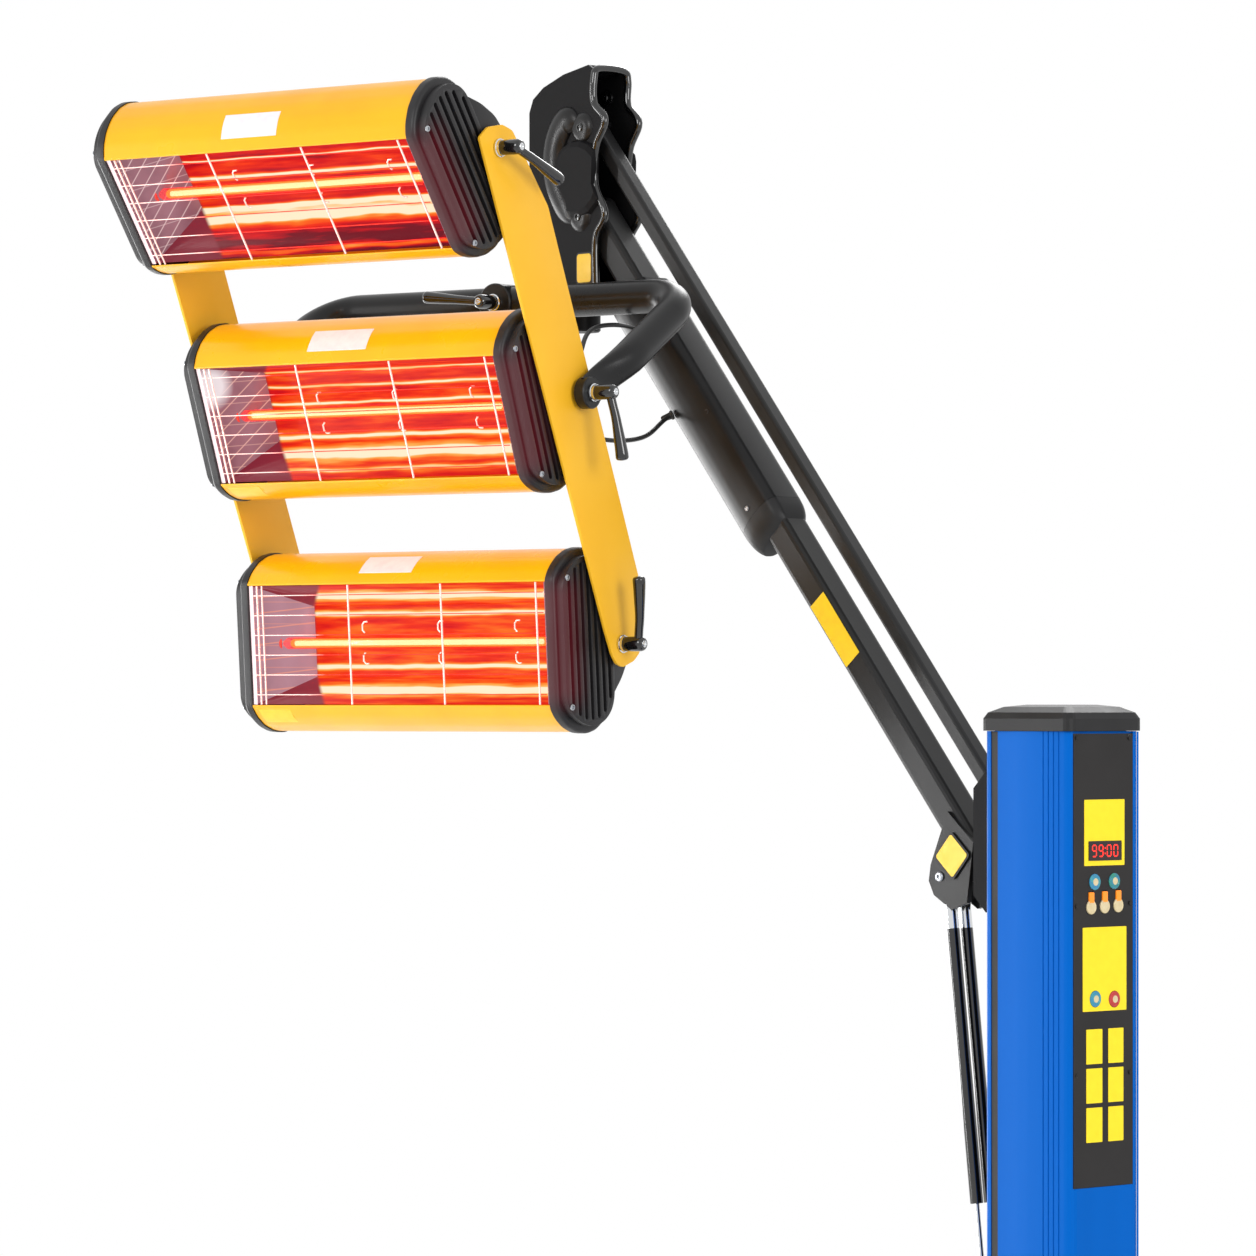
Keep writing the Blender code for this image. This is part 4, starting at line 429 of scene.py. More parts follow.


# polished reflector with the tube's reflection painted in as its own light: rows of mirror images in mm up the
# window, each with half width and brightness;
# left of the tube's end the facets mirror only the dim end wall, and below the height shade a painted shadow dims it
def paintedTubeReflection(name, rows, foot, dim, shade):
    finish, tree, shader = newFinish(name, "5a0606", 0.30, 0.0, Specular_IOR_Level=0.1)
    place, axes = localPlace(tree)
    drawn = addNode(tree, "Mapping", {"Vector": place, "Scale": (0.10, 1.0, 1.0)}).outputs["Vector"]
    fine, broad, most, mottle = glow["drawn"] * mm, glow["cloud"] * mm, glow["sway"] * mm, glow["mottle"]
    long = addNode(tree, "TexNoise", {"Vector": drawn, "Scale": 1 / fine, "Detail": 4.0}).outputs["Fac"]
    slow = addNode(tree, "TexNoise", {"Vector": place, "Scale": 1 / broad, "Detail": 2.0}).outputs["Fac"]
    sway = addNode(tree, "MapRange", {0: slow, 1: 0.3, 2: 0.7, 3: -most, 4: most}).outputs[0]
    height = addNode(tree, "Math", {0: axes["Z"], 1: sway}, operation="ADD").outputs[0]
    total = addNode(tree, "MapRange", {0: long, 1: 0.25, 2: 0.75, 3: foot - mottle, 4: foot + mottle}).outputs[0]
    for row, half, bright in rows:
        away = addNode(tree, "Math", {0: height, 1: row * mm}, operation="SUBTRACT").outputs[0]
        away = addNode(tree, "Math", {0: away}, operation="ABSOLUTE").outputs[0]
        for wide, share in (glow["core"], glow["edge"]):
            band = {0: away, 1: wide * half * mm, 2: 0.25 * wide * half * mm, 3: 0.0, 4: share * bright}
            band = addNode(tree, "MapRange", band, interpolation_type="SMOOTHSTEP").outputs[0]
            total = addNode(tree, "Math", {0: total, 1: band}, operation="ADD").outputs[0]
    # painted shadow: the painted reflection dims below the height shade, in mm
    shaded = {0: axes["Z"], 1: (shade + 5) * mm, 2: (shade - 3) * mm, 3: 0.0, 4: glow["shadow"]}
    shaded = addNode(tree, "MapRange", shaded)
    total = addNode(tree, "Math", {0: total, 1: shaded.outputs[0]}, operation="SUBTRACT").outputs[0]
    ramp = addNode(tree, "ValToRGB", {"Fac": total})
    ramp.color_ramp.elements[0].color = linearColour(glow["dimmestReflection"])
    ramp.color_ramp.elements[1].color = linearColour(glow["brightestReflection"])
    for at, colour in glow["between"]:
        ramp.color_ramp.elements.new(at).color = linearColour(colour)
    lean = {0: axes["Y"], 1: glow["facetLean"], 2: axes["X"]}
    lean = addNode(tree, "Math", lean, operation="MULTIPLY_ADD").outputs[0]
    low, high = glow["facetEnd"]
    lit = addNode(tree, "MapRange", {0: lean, 1: low * mm, 2: high * mm}, interpolation_type="SMOOTHSTEP")
    mix = {0: lit.outputs[0], 6: linearColour(dim), 7: ramp.outputs["Color"]}
    mix = addNode(tree, "Mix", mix, data_type="RGBA")
    tree.links.new(mix.outputs[2], shader.inputs["Emission Color"])
    shader.inputs["Emission Strength"].default_value = glow["light"]
    finishes[name] = finish


# rows of the tube's painted reflection in the three reflectors
paintedTubeReflection(
    "glowTop", ((17.3, 0.8, 0.7), (-1.8, 1.7, 0.95), (-34.6, 1.5, 0.95), (-39.5, 1.9, 1.0), (-54, 1.2, 0.4)),
    0.21, "6a2c3a", -47,
)
paintedTubeReflection(
    "glowMiddle",
    ((34, 1.3, 0.45), (19, 1.3, 0.5), (1.8, 1.4, 0.6), (-31.6, 1.5, 0.95), (-42, 2.4, 1.0), (-51, 1.2, 0.4)),
    0.29, "6a2636", -70,
)
paintedTubeReflection("glowBottom", ((44.5, 2.9, 1.0), (26.5, 1.6, 0.9), (-24.7, 1.6, 0.9), (-45, 2.5, 1.0)), 0.36, "74303c", -70)


# bright rolled aluminium of a reflector's end wall, its reflection painted in as its own light: a mottled mauve,
# with the thin crossing images of the guard, and a painted glare spot where glare is set
def paintedEndReflection(name, colour, dimmerReflection, line, steep, glare):
    finish, tree, shader = newFinish(name, colour, 0.3, 0.5)
    place, axes = localPlace(tree)
    slow = addNode(tree, "TexNoise", {"Vector": place, "Scale": 1 / (22 * mm), "Detail": 3.0}).outputs["Fac"]
    field = addNode(tree, "Mix", {0: slow, 6: linearColour(dimmerReflection), 7: linearColour(colour)}, data_type="RGBA")
    field = field.outputs[2]
    for slope, pitch, half, share in ((steep, 15.0, 0.55, 0.85), (-0.3 * steep - 0.05, 21.0, 0.40, 0.5)):
        rise = addNode(tree, "Math", {0: axes["Y"], 1: -slope, 2: axes["Z"]}, operation="MULTIPLY_ADD").outputs[0]
        turnBack = addNode(tree, "Math", {0: rise, 1: pitch / 2 * mm}, operation="PINGPONG").outputs[0]
        mark = {0: turnBack, 1: half * 1.7 * mm, 2: half * 0.5 * mm, 3: 0.0, 4: share}
        mark = addNode(tree, "MapRange", mark).outputs[0]
        field = addNode(tree, "Mix", {0: mark, 6: field, 7: linearColour(line)}, data_type="RGBA").outputs[2]
    if glare:
        # painted glare: a white spot of reflected light on the end wall
        spot = addNode(tree, "VectorMath", {0: place, 1: (-0.1690, 0.009, 0.036)}, operation="DISTANCE")
        paintedGlare = addNode(tree, "MapRange", {0: spot.outputs["Value"], 1: 24 * mm, 2: 12 * mm}).outputs[0]
        field = addNode(tree, "Mix", {0: paintedGlare, 6: field, 7: (1, 0.95, 0.96, 1)}, data_type="RGBA").outputs[2]
    tree.links.new(field, shader.inputs["Emission Color"])
    shader.inputs["Emission Strength"].default_value = 0.72
    shader.inputs["Base Color"].default_value = linearColour("6e4a52")
    finishes[name] = finish


paintedEndReflection("paintedEndReflectionTop", "9c6f7a", "6d434f", "f2d4d2", 0.75, False)
paintedEndReflection("paintedEndReflectionMiddle", "a06a74", "6a3440", "f4bba8", 0.65, True)
paintedEndReflection("paintedEndReflectionBottom", "b58a97", "a07480", "f09a80", 0.06, False)
# ruby coated quartz sleeve: clear, smooth and lit from inside
coat("rubyQuartz", "e01008", 0.10, 2.0, 0.002, 0.02, patch=30.0, specular=0.2, glow=("ff2410", 0.9), Alpha=0.45)
# the glowing haze round the filament, and the filament itself
coat("warmHaze", "ff8a30", 0.60, 2.0, 0.002, 0.02, patch=30.0, Alpha=0.6, glow=("ff9a3c", 1.2))
coat("hotFilament", "fff0c0", 0.50, 1.0, 0.002, 0.02, glow=("fff0c4", 3.2))


# spark-eroded nylon again, with a painted red glow for the tube's light spilling on the rim beside the window
def spillFinish(name):
    finish, tree, shader = newFinish(name, "131214", 0.42, Specular_IOR_Level=0.4)
    addGrain(tree, shader, 0.7, 0.020, 0.06, "1a191b")
    place, axes = localPlace(tree)
    high = addNode(tree, "Math", {0: axes["Z"]}, operation="ABSOLUTE").outputs[0]
    near = addNode(tree, "MapRange", {0: axes["Y"], 1: 48 * mm, 2: 2 * mm}, interpolation_type="SMOOTHSTEP")
    level = addNode(tree, "MapRange", {0: high, 1: 72 * mm, 2: 40 * mm}, interpolation_type="SMOOTHSTEP")
    spill = addNode(tree, "Math", {0: near.outputs[0], 1: level.outputs[0]}, operation="MULTIPLY").outputs[0]
    warm = addNode(tree, "MapRange", {0: spill, 3: 0.0, 4: 0.13}).outputs[0]
    tree.links.new(warm, shader.inputs["Emission Strength"])
    shader.inputs["Emission Color"].default_value = linearColour("c8203c")
    finishes[name] = finish


spillFinish("litNylonMoulding")


# guard wire across the window, its colour and glow painted light from the tube: pale over the dim end wall, lost in
# the red beyond it
def rowFinish(name):
    finish, tree, shader = newFinish(name, "c84a38", 0.35, 0.4)
    along = localPlace(tree)[1]["X"]
    share = addNode(tree, "MapRange", {0: along, 1: -112 * mm, 2: -86 * mm}).outputs[0]
    pale, red = linearColour("f4c8c0"), linearColour("e8240f")
    mix = addNode(tree, "Mix", {0: share, 6: pale, 7: red}, data_type="RGBA")
    tree.links.new(mix.outputs[2], shader.inputs["Emission Color"])
    tree.links.new(mix.outputs[2], shader.inputs["Base Color"])
    shader.inputs["Emission Strength"].default_value = 0.7
    finishes[name] = finish


rowFinish("warmRowWire")

# CAD nodes that keep their own mesh
keptNodes = {
    "main_tube": "satinTubeCoat", "link_tube": "satinTubeCoat", "arm_bracket": "blackPowderCoat",
    "knuckle_near": "blackPowderCoat", "knuckle_far": "blackPowderCoat", "base_frame": "blackPowderCoat",
    "column": "blueProfileCoat", "column_cap": "satinBlackMoulding", "control_panel": "panelLacquer",
    "control_board": "boardLaminate", "cable_gland": "blackNylonMoulding",
    "caster_fork_left": "zincPlatedSteel", "caster_fork_right": "zincPlatedSteel",
}
for name, finish in keptNodes.items():
    nodes[name].material_slots[0].material = finishes[finish]
print("stage: finishes made")


# Camera at the photograph's angle: a long lens, level, with the picture shifted up
camera = bpy.data.cameras.new("photoView")
camera.lens = 157.64
camera.sensor_width = 36.0
camera.shift_y = 0.0573
photoView = bpy.data.objects.new("photoView", camera)
photoView.location = (3.354, -3.674, 1.178)
photoView.rotation_euler = (math.radians(90.0), 0.0, math.radians(46.9))
scene.collection.objects.link(photoView)
scene.camera = photoView

# Studio: white all round for the eye and in reflections, plain level light on the object
scene.view_settings.view_transform = "Standard"
world = bpy.data.worlds.new("studio")
world.use_nodes = True
scene.world = world
tree = world.node_tree
seen = addNode(tree, "LightPath")
shown = seen.outputs["Is Camera Ray"]
for kind in ("Is Glossy Ray", "Is Transmission Ray"):
    shown = addNode(tree, "Math", {0: shown, 1: seen.outputs[kind]}, operation="MAXIMUM").outputs[0]
strength = addNode(tree, "MapRange", {0: shown, 3: 0.66, 4: 1.0})
background = tree.nodes["Background"]
background.inputs["Color"].default_value = (1, 1, 1, 1)
tree.links.new(strength.outputs["Result"], background.inputs["Strength"])

studioLights = {
    "key": {"at": (0.4, -4.2, 3.0), "aim": (-0.4, -0.2, 1.4), "size": (1.6, 1.6), "power": 62.0},
    "fill": {"at": (3.6, -0.6, 2.2), "aim": (-0.2, 0.0, 1.3), "size": (1.6, 1.6), "power": 62.0},
    "rim": {"at": (-1.8, 2.2, 3.4), "aim": (-0.4, 0.0, 1.4), "size": (1.4, 1.4), "power": 40.0},
    "columnStrip": {"at": (-2.2, -2.15, 1.0), "aim": (0.0, 0.0, 1.0), "size": (0.12, 2.4), "power": 32.0},
    "armStrip": {"at": (-2.85, -0.13, 0.94), "aim": (-0.38, 0.0, 1.36), "size": (2.0, 1.2), "power": 38.0},
}
for name, light in studioLights.items():
    lamp = bpy.data.lights.new(name, "AREA")
    lamp.energy, lamp.shape = light["power"], "RECTANGLE"
    lamp.size, lamp.size_y = light["size"]
    spot = bpy.data.objects.new(name, lamp)
    spot.location = light["at"]
    spot.visible_camera = False
    spot.rotation_euler = (Vector(light["aim"]) - Vector(light["at"])).to_track_quat("-Z", "Y").to_euler()
    scene.collection.objects.link(spot)

# White floor, faded out to the white behind it for the eye
floorShape = bmesh.new()
bmesh.ops.create_circle(floorShape, cap_ends=True, radius=3.4, segments=96)
floorMesh = bpy.data.meshes.new("floor")
floorShape.to_mesh(floorMesh)
floorShape.free()
floor = bpy.data.objects.new("floor", floorMesh)
scene.collection.objects.link(floor)
finish, tree, shader = newFinish("paintedFloor", "f2f2f1", 0.7)
fromMiddle = addNode(tree, "TexCoord").outputs["Object"]
reach = addNode(tree, "VectorMath", {0: fromMiddle}, operation="LENGTH")
fade = addNode(tree, "MapRange", {0: reach.outputs["Value"], 1: 1.6, 2: 3.3}, interpolation_type="SMOOTHSTEP")
seen = addNode(tree, "LightPath")
share = addNode(tree, "Math", {0: fade.outputs["Result"], 1: seen.outputs["Is Camera Ray"]}, operation="MULTIPLY")
white = addNode(tree, "Emission", {"Color": (1, 1, 1, 1), "Strength": 1.0})
blend = addNode(tree, "MixShader", {0: share.outputs[0], 1: shader.outputs[0], 2: white.outputs[0]})
tree.links.new(blend.outputs[0], tree.nodes["Material Output"].inputs["Surface"])
floorMesh.materials.append(finish)
print("stage: camera and studio set")


# Small fasteners: a pan head with a recess, and a row of them that face the same way
def screwHead(radius, height):
    shares = ((1.0, 0.0), (1.0, 0.45), (0.86, 0.85), (0.6, 1.0), (0.44, 1.0), (0.38, 0.35), (0.0, 0.3))
    return turned([(radius * across, height * up) for across, up in shares], 24)


def screwRow(radius, height, places, out):
    row = bmesh.new()
    for place in places:
        added(row, screwHead(radius, height), axisFrame(place, out))
    return row


# Cassettes: depth behind the window and height over its middle in mm
cassette = {
    "halfLength": 0.1760, "middle": (0.045, 0.0), "wall": 1.6, "bend": 4.0,
    "outline": ((0, 59), (7, 69), (18, 78), (32, 84), (47, 86), (61, 83.5), (74, 76), (82, 65), (85, 50)),
    "tray": ((172.5, 56.5, 3), (142, 34, 59)), "trayWall": 0.8, "hem": (-0.1738, 0.0020, 0.0, 2.0, 57.0),
    "wires": ((-165, 0.95), (-55, 0.95), (55, 0.95), (165, 0.95), (-159, 0.8)), "wireEnd": 0.0568,
    "rows": (-47.5, -28.5, -9.5, 9.5, 28.5, 47.5), "rowEnd": 0.1722,
}
endCap = {
    "plate": (0.1763, 0.0096), "pad": (0.1853, 0.0082), "wedge": (0.1800, 0.0115), "grow": 1.2, "padInset": 6.0,
    "slots": ((14.0, 62), (24.0, 69), (34.0, 73), (44.0, 74), (54.0, 73), (64.0, 68), (73.5, 56)),
    "slotFloor": 0.1885, "slotHalf": 2.4,
    "wedgeOutline": ((78, 56), (78, -56), (96, -38), (108, -20), (111, 0), (108, 16), (96, 36)),
    "boss": ((0, 0), (12, 0), (12, 14.8), (11.2, 15.9), (0, 15.9)), "bossAt": (0.1803, 0.0860, -0.0060),
    "screws": ((0.1936, 0.011, 0.060), (0.1936, 0.011, -0.060)),
}


# the cassette's section, grown or shrunk about its middle
def cassetteSection(grow):
    middle = Vector(cassette["middle"])
    half = [Vector((d * mm, h * mm)) for d, h in cassette["outline"]]
    away = [p - middle for p in half + [Vector((p.x, -p.y)) for p in half[::-1]]]
    return [middle + a * (1 + grow * mm / a.length) for a in away]


def shellShape():
    half, wall = cassette["halfLength"], cassette["wall"]
    outer, inner = cassetteSection(0.0), cassetteSection(-wall)
    for end in (0, -1):  # the sheet ends square at the window
        inner[end] = Vector((0.0, outer[end].y - math.copysign(wall * mm, outer[end].y)))
    shape = outlineFace([(-half, p.x, p.y) for p in outer + inner[::-1]])
    shape.verts.ensure_lookup_table()
    count = len(outer)
    bends = shape.verts[1 : count - 1] + shape.verts[count + 1 : 2 * count - 1]
    roundCorners(shape, cassette["bend"], 3, bends)
    pushOut(shape, (2 * half, 0, 0))
    return shape


# the right cap: a plate that follows the shell, a raised pad with slots, and a wedge to the pivot boss
def endCapShape():
    start, thick = endCap["plate"]
    shape = outlineFace([(start, p.x, p.y) for p in cassetteSection(endCap["grow"])])
    roundCorners(shape, 4.0, 3)
    pushOut(shape, (thick, 0, 0))
    softenEdges(shape, 3.6, 4, 50.0, lambda e: all(v.co.x > 0.18 for v in e.verts))
    start, thick = endCap["pad"]
    pad = outlineFace([(start, p.x, p.y) for p in cassetteSection(-endCap["padInset"])])
    roundCorners(pad, 9.0, 5)
    pushOut(pad, (thick, 0, 0))
    cutter = bmesh.new()
    for depth, length in endCap["slots"]:
        opening = rectangle(endCap["slotFloor"], depth * mm, 0, endCap["slotHalf"], length)
        added(cutter, slab(opening, (0.02, 0, 0), 2.3, segments=4))
    pad = cutAway(pad, cutter)
    softenEdges(pad, 0.8, 2, 40.0, lambda e: all(v.co.x > 0.188 for v in e.verts))
    added(shape, pad)
    start, thick = endCap["wedge"]
    added(shape, slab([(start, d * mm, h * mm) for d, h in endCap["wedgeOutline"]], (thick, 0, 0), 5.0, 2.0))
    added(shape, turned(endCap["boss"]), axisFrame(endCap["bossAt"], (1, 0, 0)))
    return shape


# stepped reflector tray, long faces as material 0 and end faces as material 1
def trayShape():
    rings = [rectangle(0.0, d * mm, 0.0, x, z, "XZ") for x, z, d in cassette["tray"]]
    shape = lofted(rings, False)
    deepest = max(shape.faces, key=lambda f: f.calc_center_median().y)
    if deepest.normal.y > 0:
        bmesh.ops.reverse_faces(shape, faces=shape.faces)
    for face in shape.faces:
        face.material_index = int(abs(face.calc_center_median().x) > 0.1)
    return shape


# Lamp inside a cassette: turned profiles as radius and place along the tube in mm
lamp = {
    "depth": 0.0320, "tube": ((0, -158), (3.3, -158), (5.5, -154), (5.5, 154), (3.3, 158), (0, 158)),
    "haze": ((0, -150), (3.0, -149.5), (4.3, -147), (4.3, 150), (0, 151)),
    "filament": ((0, -146), (2.5, -145), (2.5, 148), (0, 149)),
    "block": ((0, 0), (6.4, 0), (7.0, 0.8), (7.0, 13.0), (6.2, 14.0), (0, 14.0)), "blockAt": 0.1590,
    "clips": (-62, 28, 118), "hook": ((4.5, 20.0), (1.0, 20.0), (-1.5, 17.5), (-1.5, 12.0), (1.0, 9.5)),
}
# Plain labels on the shell's bends: the white one's ends along the lamp, and the bends as depth and height in mm
label = {
    "span": {"top": (-0.036, 0.028), "middle": (-0.042, 0.027), "bottom": (-0.045, 0.017)},
    "upper": ((6.0, 68.0), (11.5, 73.2), (18, 78.1), (25, 81.6)),
    "tagSpan": (-0.170, -0.132), "under": ((2.0, 62.2), (7.0, 69.0), (14.0, 74.6)),
}


def bentLabel(bend, span, side, lift):
    outside = [(span[0], d * mm, side * (h + lift) * mm) for d, h in bend]
    inside = [(span[0], (d + 0.12) * mm, side * (h - 0.6) * mm) for d, h in bend[::-1]]
    shape = outlineFace(outside + inside)
    pushOut(shape, (span[1] - span[0], 0, 0))
    return shape


shellMaster, capMaster = shellShape(), endCapShape()
flip = Matrix.Scale(-1, 4, (1, 0, 0))
for which in cassetteSeats:
    seat, body = cassetteFrame(which), "cassette_" + which
    shell = shellMaster.copy()
    finishPiece("shell_" + which, shell, "yellowPowderCoat", body, ("cassette_shell_" + which,), seat, 28)
    for side, turn, skin in (("right", Matrix(), "litNylonMoulding"), ("left", flip, "blackNylonMoulding")):
        cap = capMaster.copy()
        finishPiece(f"cap_{side}_{which}", cap, skin, body, (f"end_cap_{side}_{which}",), seat @ turn, 35)
        screws = screwRow(3.0, 1.6, endCap["screws"], (1, 0, 0))
        finishPiece(f"cap_screws_{side}_{which}", screws, "zincPlatedSteel", body, (), seat @ turn)
    # the tray's sheets carry the tube's painted reflection and the end walls' painted reflection
    sheets = ("glow" + which.capitalize(), "paintedEndReflection" + which.capitalize())
    tray = finishPiece("tray_" + which, trayShape(), sheets, body, ("reflector_" + which,), seat, 1)
    wall = tray.modifiers.new("sheet", "SOLIDIFY")
    wall.thickness, wall.offset = cassette["trayWall"] * mm, -1.0
    hem = slab(rectangle(*cassette["hem"], "XZ"), (0, cassette["trayWall"] * mm, 0))
    finishPiece("tray_hem_" + which, hem, "hotRim", body, (), seat)
    lampPlace = seat @ axisFrame((0, lamp["depth"], 0), (1, 0, 0))
    tube = turned(lamp["tube"], 28)
    finishPiece("quartz_tube_" + which, tube, "rubyQuartz", body, ("lamp_tube_" + which,), lampPlace)
    finishPiece("haze_" + which, turned(lamp["haze"], 20), "warmHaze", body, (), lampPlace)
    finishPiece("filament_" + which, turned(lamp["filament"], 16), "hotFilament", body, (), lampPlace)
    ends, clips, wires, rows = bmesh.new(), bmesh.new(), bmesh.new(), bmesh.new()
    for side in (-1, 1):
        added(ends, turned(lamp["block"], 24), axisFrame((side * lamp["blockAt"], lamp["depth"], 0), (side, 0, 0)))
    finishPiece("tube_ends_" + which, ends, "ceramicEnd", body, (), seat)
    for x in lamp["clips"]:
        for side in (-1, 1):
            hook = [((x + a) * mm, lamp["depth"], side * c * mm) for a, c in lamp["hook"]]
            added(clips, piping(hook, 0.8, 3))
    finishPiece("tube_clips_" + which, clips, "brightWire", body, (), seat)
    for x, thick in cassette["wires"]:
        added(wires, piping([(x * mm, 0.3 * mm, z * cassette["wireEnd"]) for z in (-1, 1)], thick, 3))
    for z in cassette["rows"]:
        added(rows, piping([(x * cassette["rowEnd"], 1.3 * mm, z * mm) for x in (-1, 1)], 0.45, 3))
    finishPiece("wires_" + which, wires, "brightWire", body, ("guard_" + which,), seat)
    finishPiece("wire_rows_" + which, rows, "warmRowWire", body, (), seat)
    foil = bentLabel(label["upper"], label["span"][which], 1, 0.1)
    finishPiece("label_" + which, foil, "paleLabel", body, (), seat, 40)
    if which != "top":
        foil = bentLabel(label["under"], label["tagSpan"], -1, 0.15)
        finishPiece("tag_" + which, foil, "amberFoil", body, (), seat, 40)
print("stage: cassettes made")


# Side plates: inner faces along the head, and depth and height on it in mm
sidePlate = {
    "thick": 0.0030, "faces": {"right": 0.1965, "left": -0.1995},
    "outline": (
        (-163, 223.5), (33, -218), (44.8, -241.6), (52, -250), (62, -253), (80, -247), (89.5, -239),
        (90.4, -174.7), (-57.6, 169.1), (-113, 234), (-128, 238), (-150, 234),
    ),
}
for word, x in sidePlate["faces"].items():
    plate = slab([(x, y * mm, z * mm) for y, z in sidePlate["outline"]], (sidePlate["thick"], 0, 0), 2.5, 0.35, 3)
    finishPiece("plate_" + word, plate, "yellowPlateCoat", "lamp_frame", ("side_plate_" + word,), headFrame)


# direction on the head, in degrees up from straight ahead
def headWay(angle):
    return (0.0, -math.cos(math.radians(angle)), math.sin(math.radians(angle)))


# Clamp levers: foot washer, hub, chromed screw and a swelling handle, in mm
lever = {
    "hub": ((0, 4.8), (6.9, 4.8), (7.0, 22), (6.2, 24.5), (5.0, 25.6), (0, 25.8)),
    "foot": ((0, 0), (8.3, 0), (8.5, 0.4), (8.5, 2.0), (7.6, 2.4), (7.4, 4.9), (0, 4.9)),
    "handle": ((0, 18.7), (12, 20.9), (24, 23.2), (40, 25.0), (56, 26.6), (62, 26.7), (63.8, 26.7)),
    "swell": (
        4.4, 4.3, 4.2, 4.2, 4.2, 4.2, 4.2, 4.2, 4.3, 4.3, 4.4, 4.5, 4.6, 4.8, 5.0, 5.2, 5.4, 5.6, 5.7, 5.9, 6.0, 6.1,
        6.1, 6.1, 6.0, 5.6, 5.2, 4.6, 3.8, 2.8, 1.4,
    ),
    # seat on the head, way out of the screw, way of the handle, length of the screw
    "top": ((0.1998, -0.1343, 0.2162), (1, 0, 0), headWay(205.0), 12.0),
    "bottom": ((0.1998, 0.0594, -0.2313), (1, 0, 0), headWay(80.0), 12.0),
    "yoke_right": ((0.2148, -0.008, 0), (1, 0, 0), headWay(262.0), 27.3),
    "yoke_left": ((-0.2148, -0.008, 0), (-1, 0, 0), headWay(175.0), 27.3),
    "roll": ((0, 0.1287, 0.0998), (0, -1, 0), (-1, 0, 0.1), 9.6),
}
turn = headFrame.to_3x3()
for word in ("top", "bottom", "yoke_right", "yoke_left", "roll"):
    seat, outward, handle, stud = lever[word]
    place = axisFrame(headFrame @ Vector(seat), turn @ Vector(outward), turn @ Vector(handle))
    hub = turned(lever["hub"])
    added(hub, piping(softPath([(x * mm, 0, z * mm) for x, z in lever["handle"]], 5), 1.0, 6, lever["swell"]))
    finishPiece("lever_grip_" + word, hub, "blackEnamel", "lever_" + word, ("clamp_lever_" + word,), place)
    metal = turned(lever["foot"])
    added(metal, screwHead(3.4, 0.8), Matrix.Translation((0, 0, 25.6 * mm)))
    added(metal, turned(((0, -stud), (3.6, -stud), (4.0, -stud + 0.6), (4.0, 0.5), (0, 0.5)), 20))
    finishPiece("lever_metal_" + word, metal, "polishedSteel", "lever_" + word, (), place)
print("stage: plates and levers made")


# Yoke: one bent tube, pressed flat at its eyes; places on the head, stations along its arm in mm
yoke = {
    "radius": 16.0, "armX": 0.217, "eyeX": 0.2085, "eyeY": -0.0080, "backY": 0.1470, "axisZ": 0.0998, "bend": 0.042,
    "stations": (0, 6, 12, 20, 30, 40, 52, 64, 76), "flatEnd": 0.012, "fade": 0.058, "pressed": 0.36,
    "eye": ((0, -5.9), (13.8, -5.9), (15.0, -4.8), (15.0, 4.8), (13.8, 5.9), (0, 5.9)),
    "hub": ((8.4, 129), (17.8, 129), (19, 130.2), (19, 164.8), (17.8, 166), (8.4, 166)),
}
armX, eyeX, axisPoint = yoke["armX"], yoke["eyeX"], (0, 0, yoke["axisZ"])
eye = Vector((armX, yoke["eyeY"], 0.0))
corner = Vector((armX, yoke["backY"], yoke["axisZ"]))
up = (corner - eye).normalized()
mirror = Vector((-1.0, 1.0, 1.0))
start = [eye + up * (s * mm) for s in yoke["stations"]]
last = eye + up * 0.080
path = start + roundedPath([last, corner, corner * mirror, last * mirror], yoke["bend"], 14)
path += [p * mirror for p in start[::-1]]
tube = piping(path, yoke["radius"], 10)
for vert in tube.verts:
    run = (vert.co - Vector((math.copysign(eye.x, vert.co.x), eye.y, eye.z))).dot(up)
    if abs(vert.co.x) > 0.19 and run < 0.072:
        share = min(max((run - yoke["flatEnd"]) / yoke["fade"], 0.0), 1.0)
        share = share * share * (3 - 2 * share)
        side = math.copysign(1.0, vert.co.x)
        off = (vert.co.x * side - armX) * (yoke["pressed"] + (1 - yoke["pressed"]) * share)
        vert.co.x = side * (eyeX + (armX - eyeX) * share + off)
for side in (-1, 1):
    added(tube, turned(yoke["eye"]), axisFrame((side * eyeX, eye.y, eye.z), (1, 0, 0)))
added(tube, turned(yoke["hub"]), axisFrame(axisPoint, (0, 1, 0)))
finishPiece("yoke_tube", tube, "blackTubeCoat", "yoke", ("yoke",), headFrame)

# Swivel block between knuckle and yoke: heights over the floor, the spindle's places along the roll axis
swivelBlock = {
    "y": 0.2728, "block": ((0, 1540.8), (18.4, 1540.8), (20, 1542.4), (20, 1577), (18.6, 1578.7), (0, 1578.7)),
    "pin": ((0, 1570), (8, 1570), (8, 1598.5), (6.8, 1600), (0, 1600)),
    "spindle": ((0, 130), (8, 130), (8, 166.3), (12, 166.3), (12, 272.8), (0, 272.8)),
}
swivel = headFrame @ Vector((0.0, swivelBlock["y"], yoke["axisZ"]))
block = turned(swivelBlock["block"])
added(block, turned(swivelBlock["pin"]))
block.transform(Matrix.Translation((swivel.x, swivel.y, 0)))
added(block, turned(swivelBlock["spindle"]), headFrame @ axisFrame(axisPoint, (0, 1, 0)))
finishPiece("swivel", block, "blackPowderCoat", "swivel", ("swivel_block",))
print("stage: yoke and swivel made")


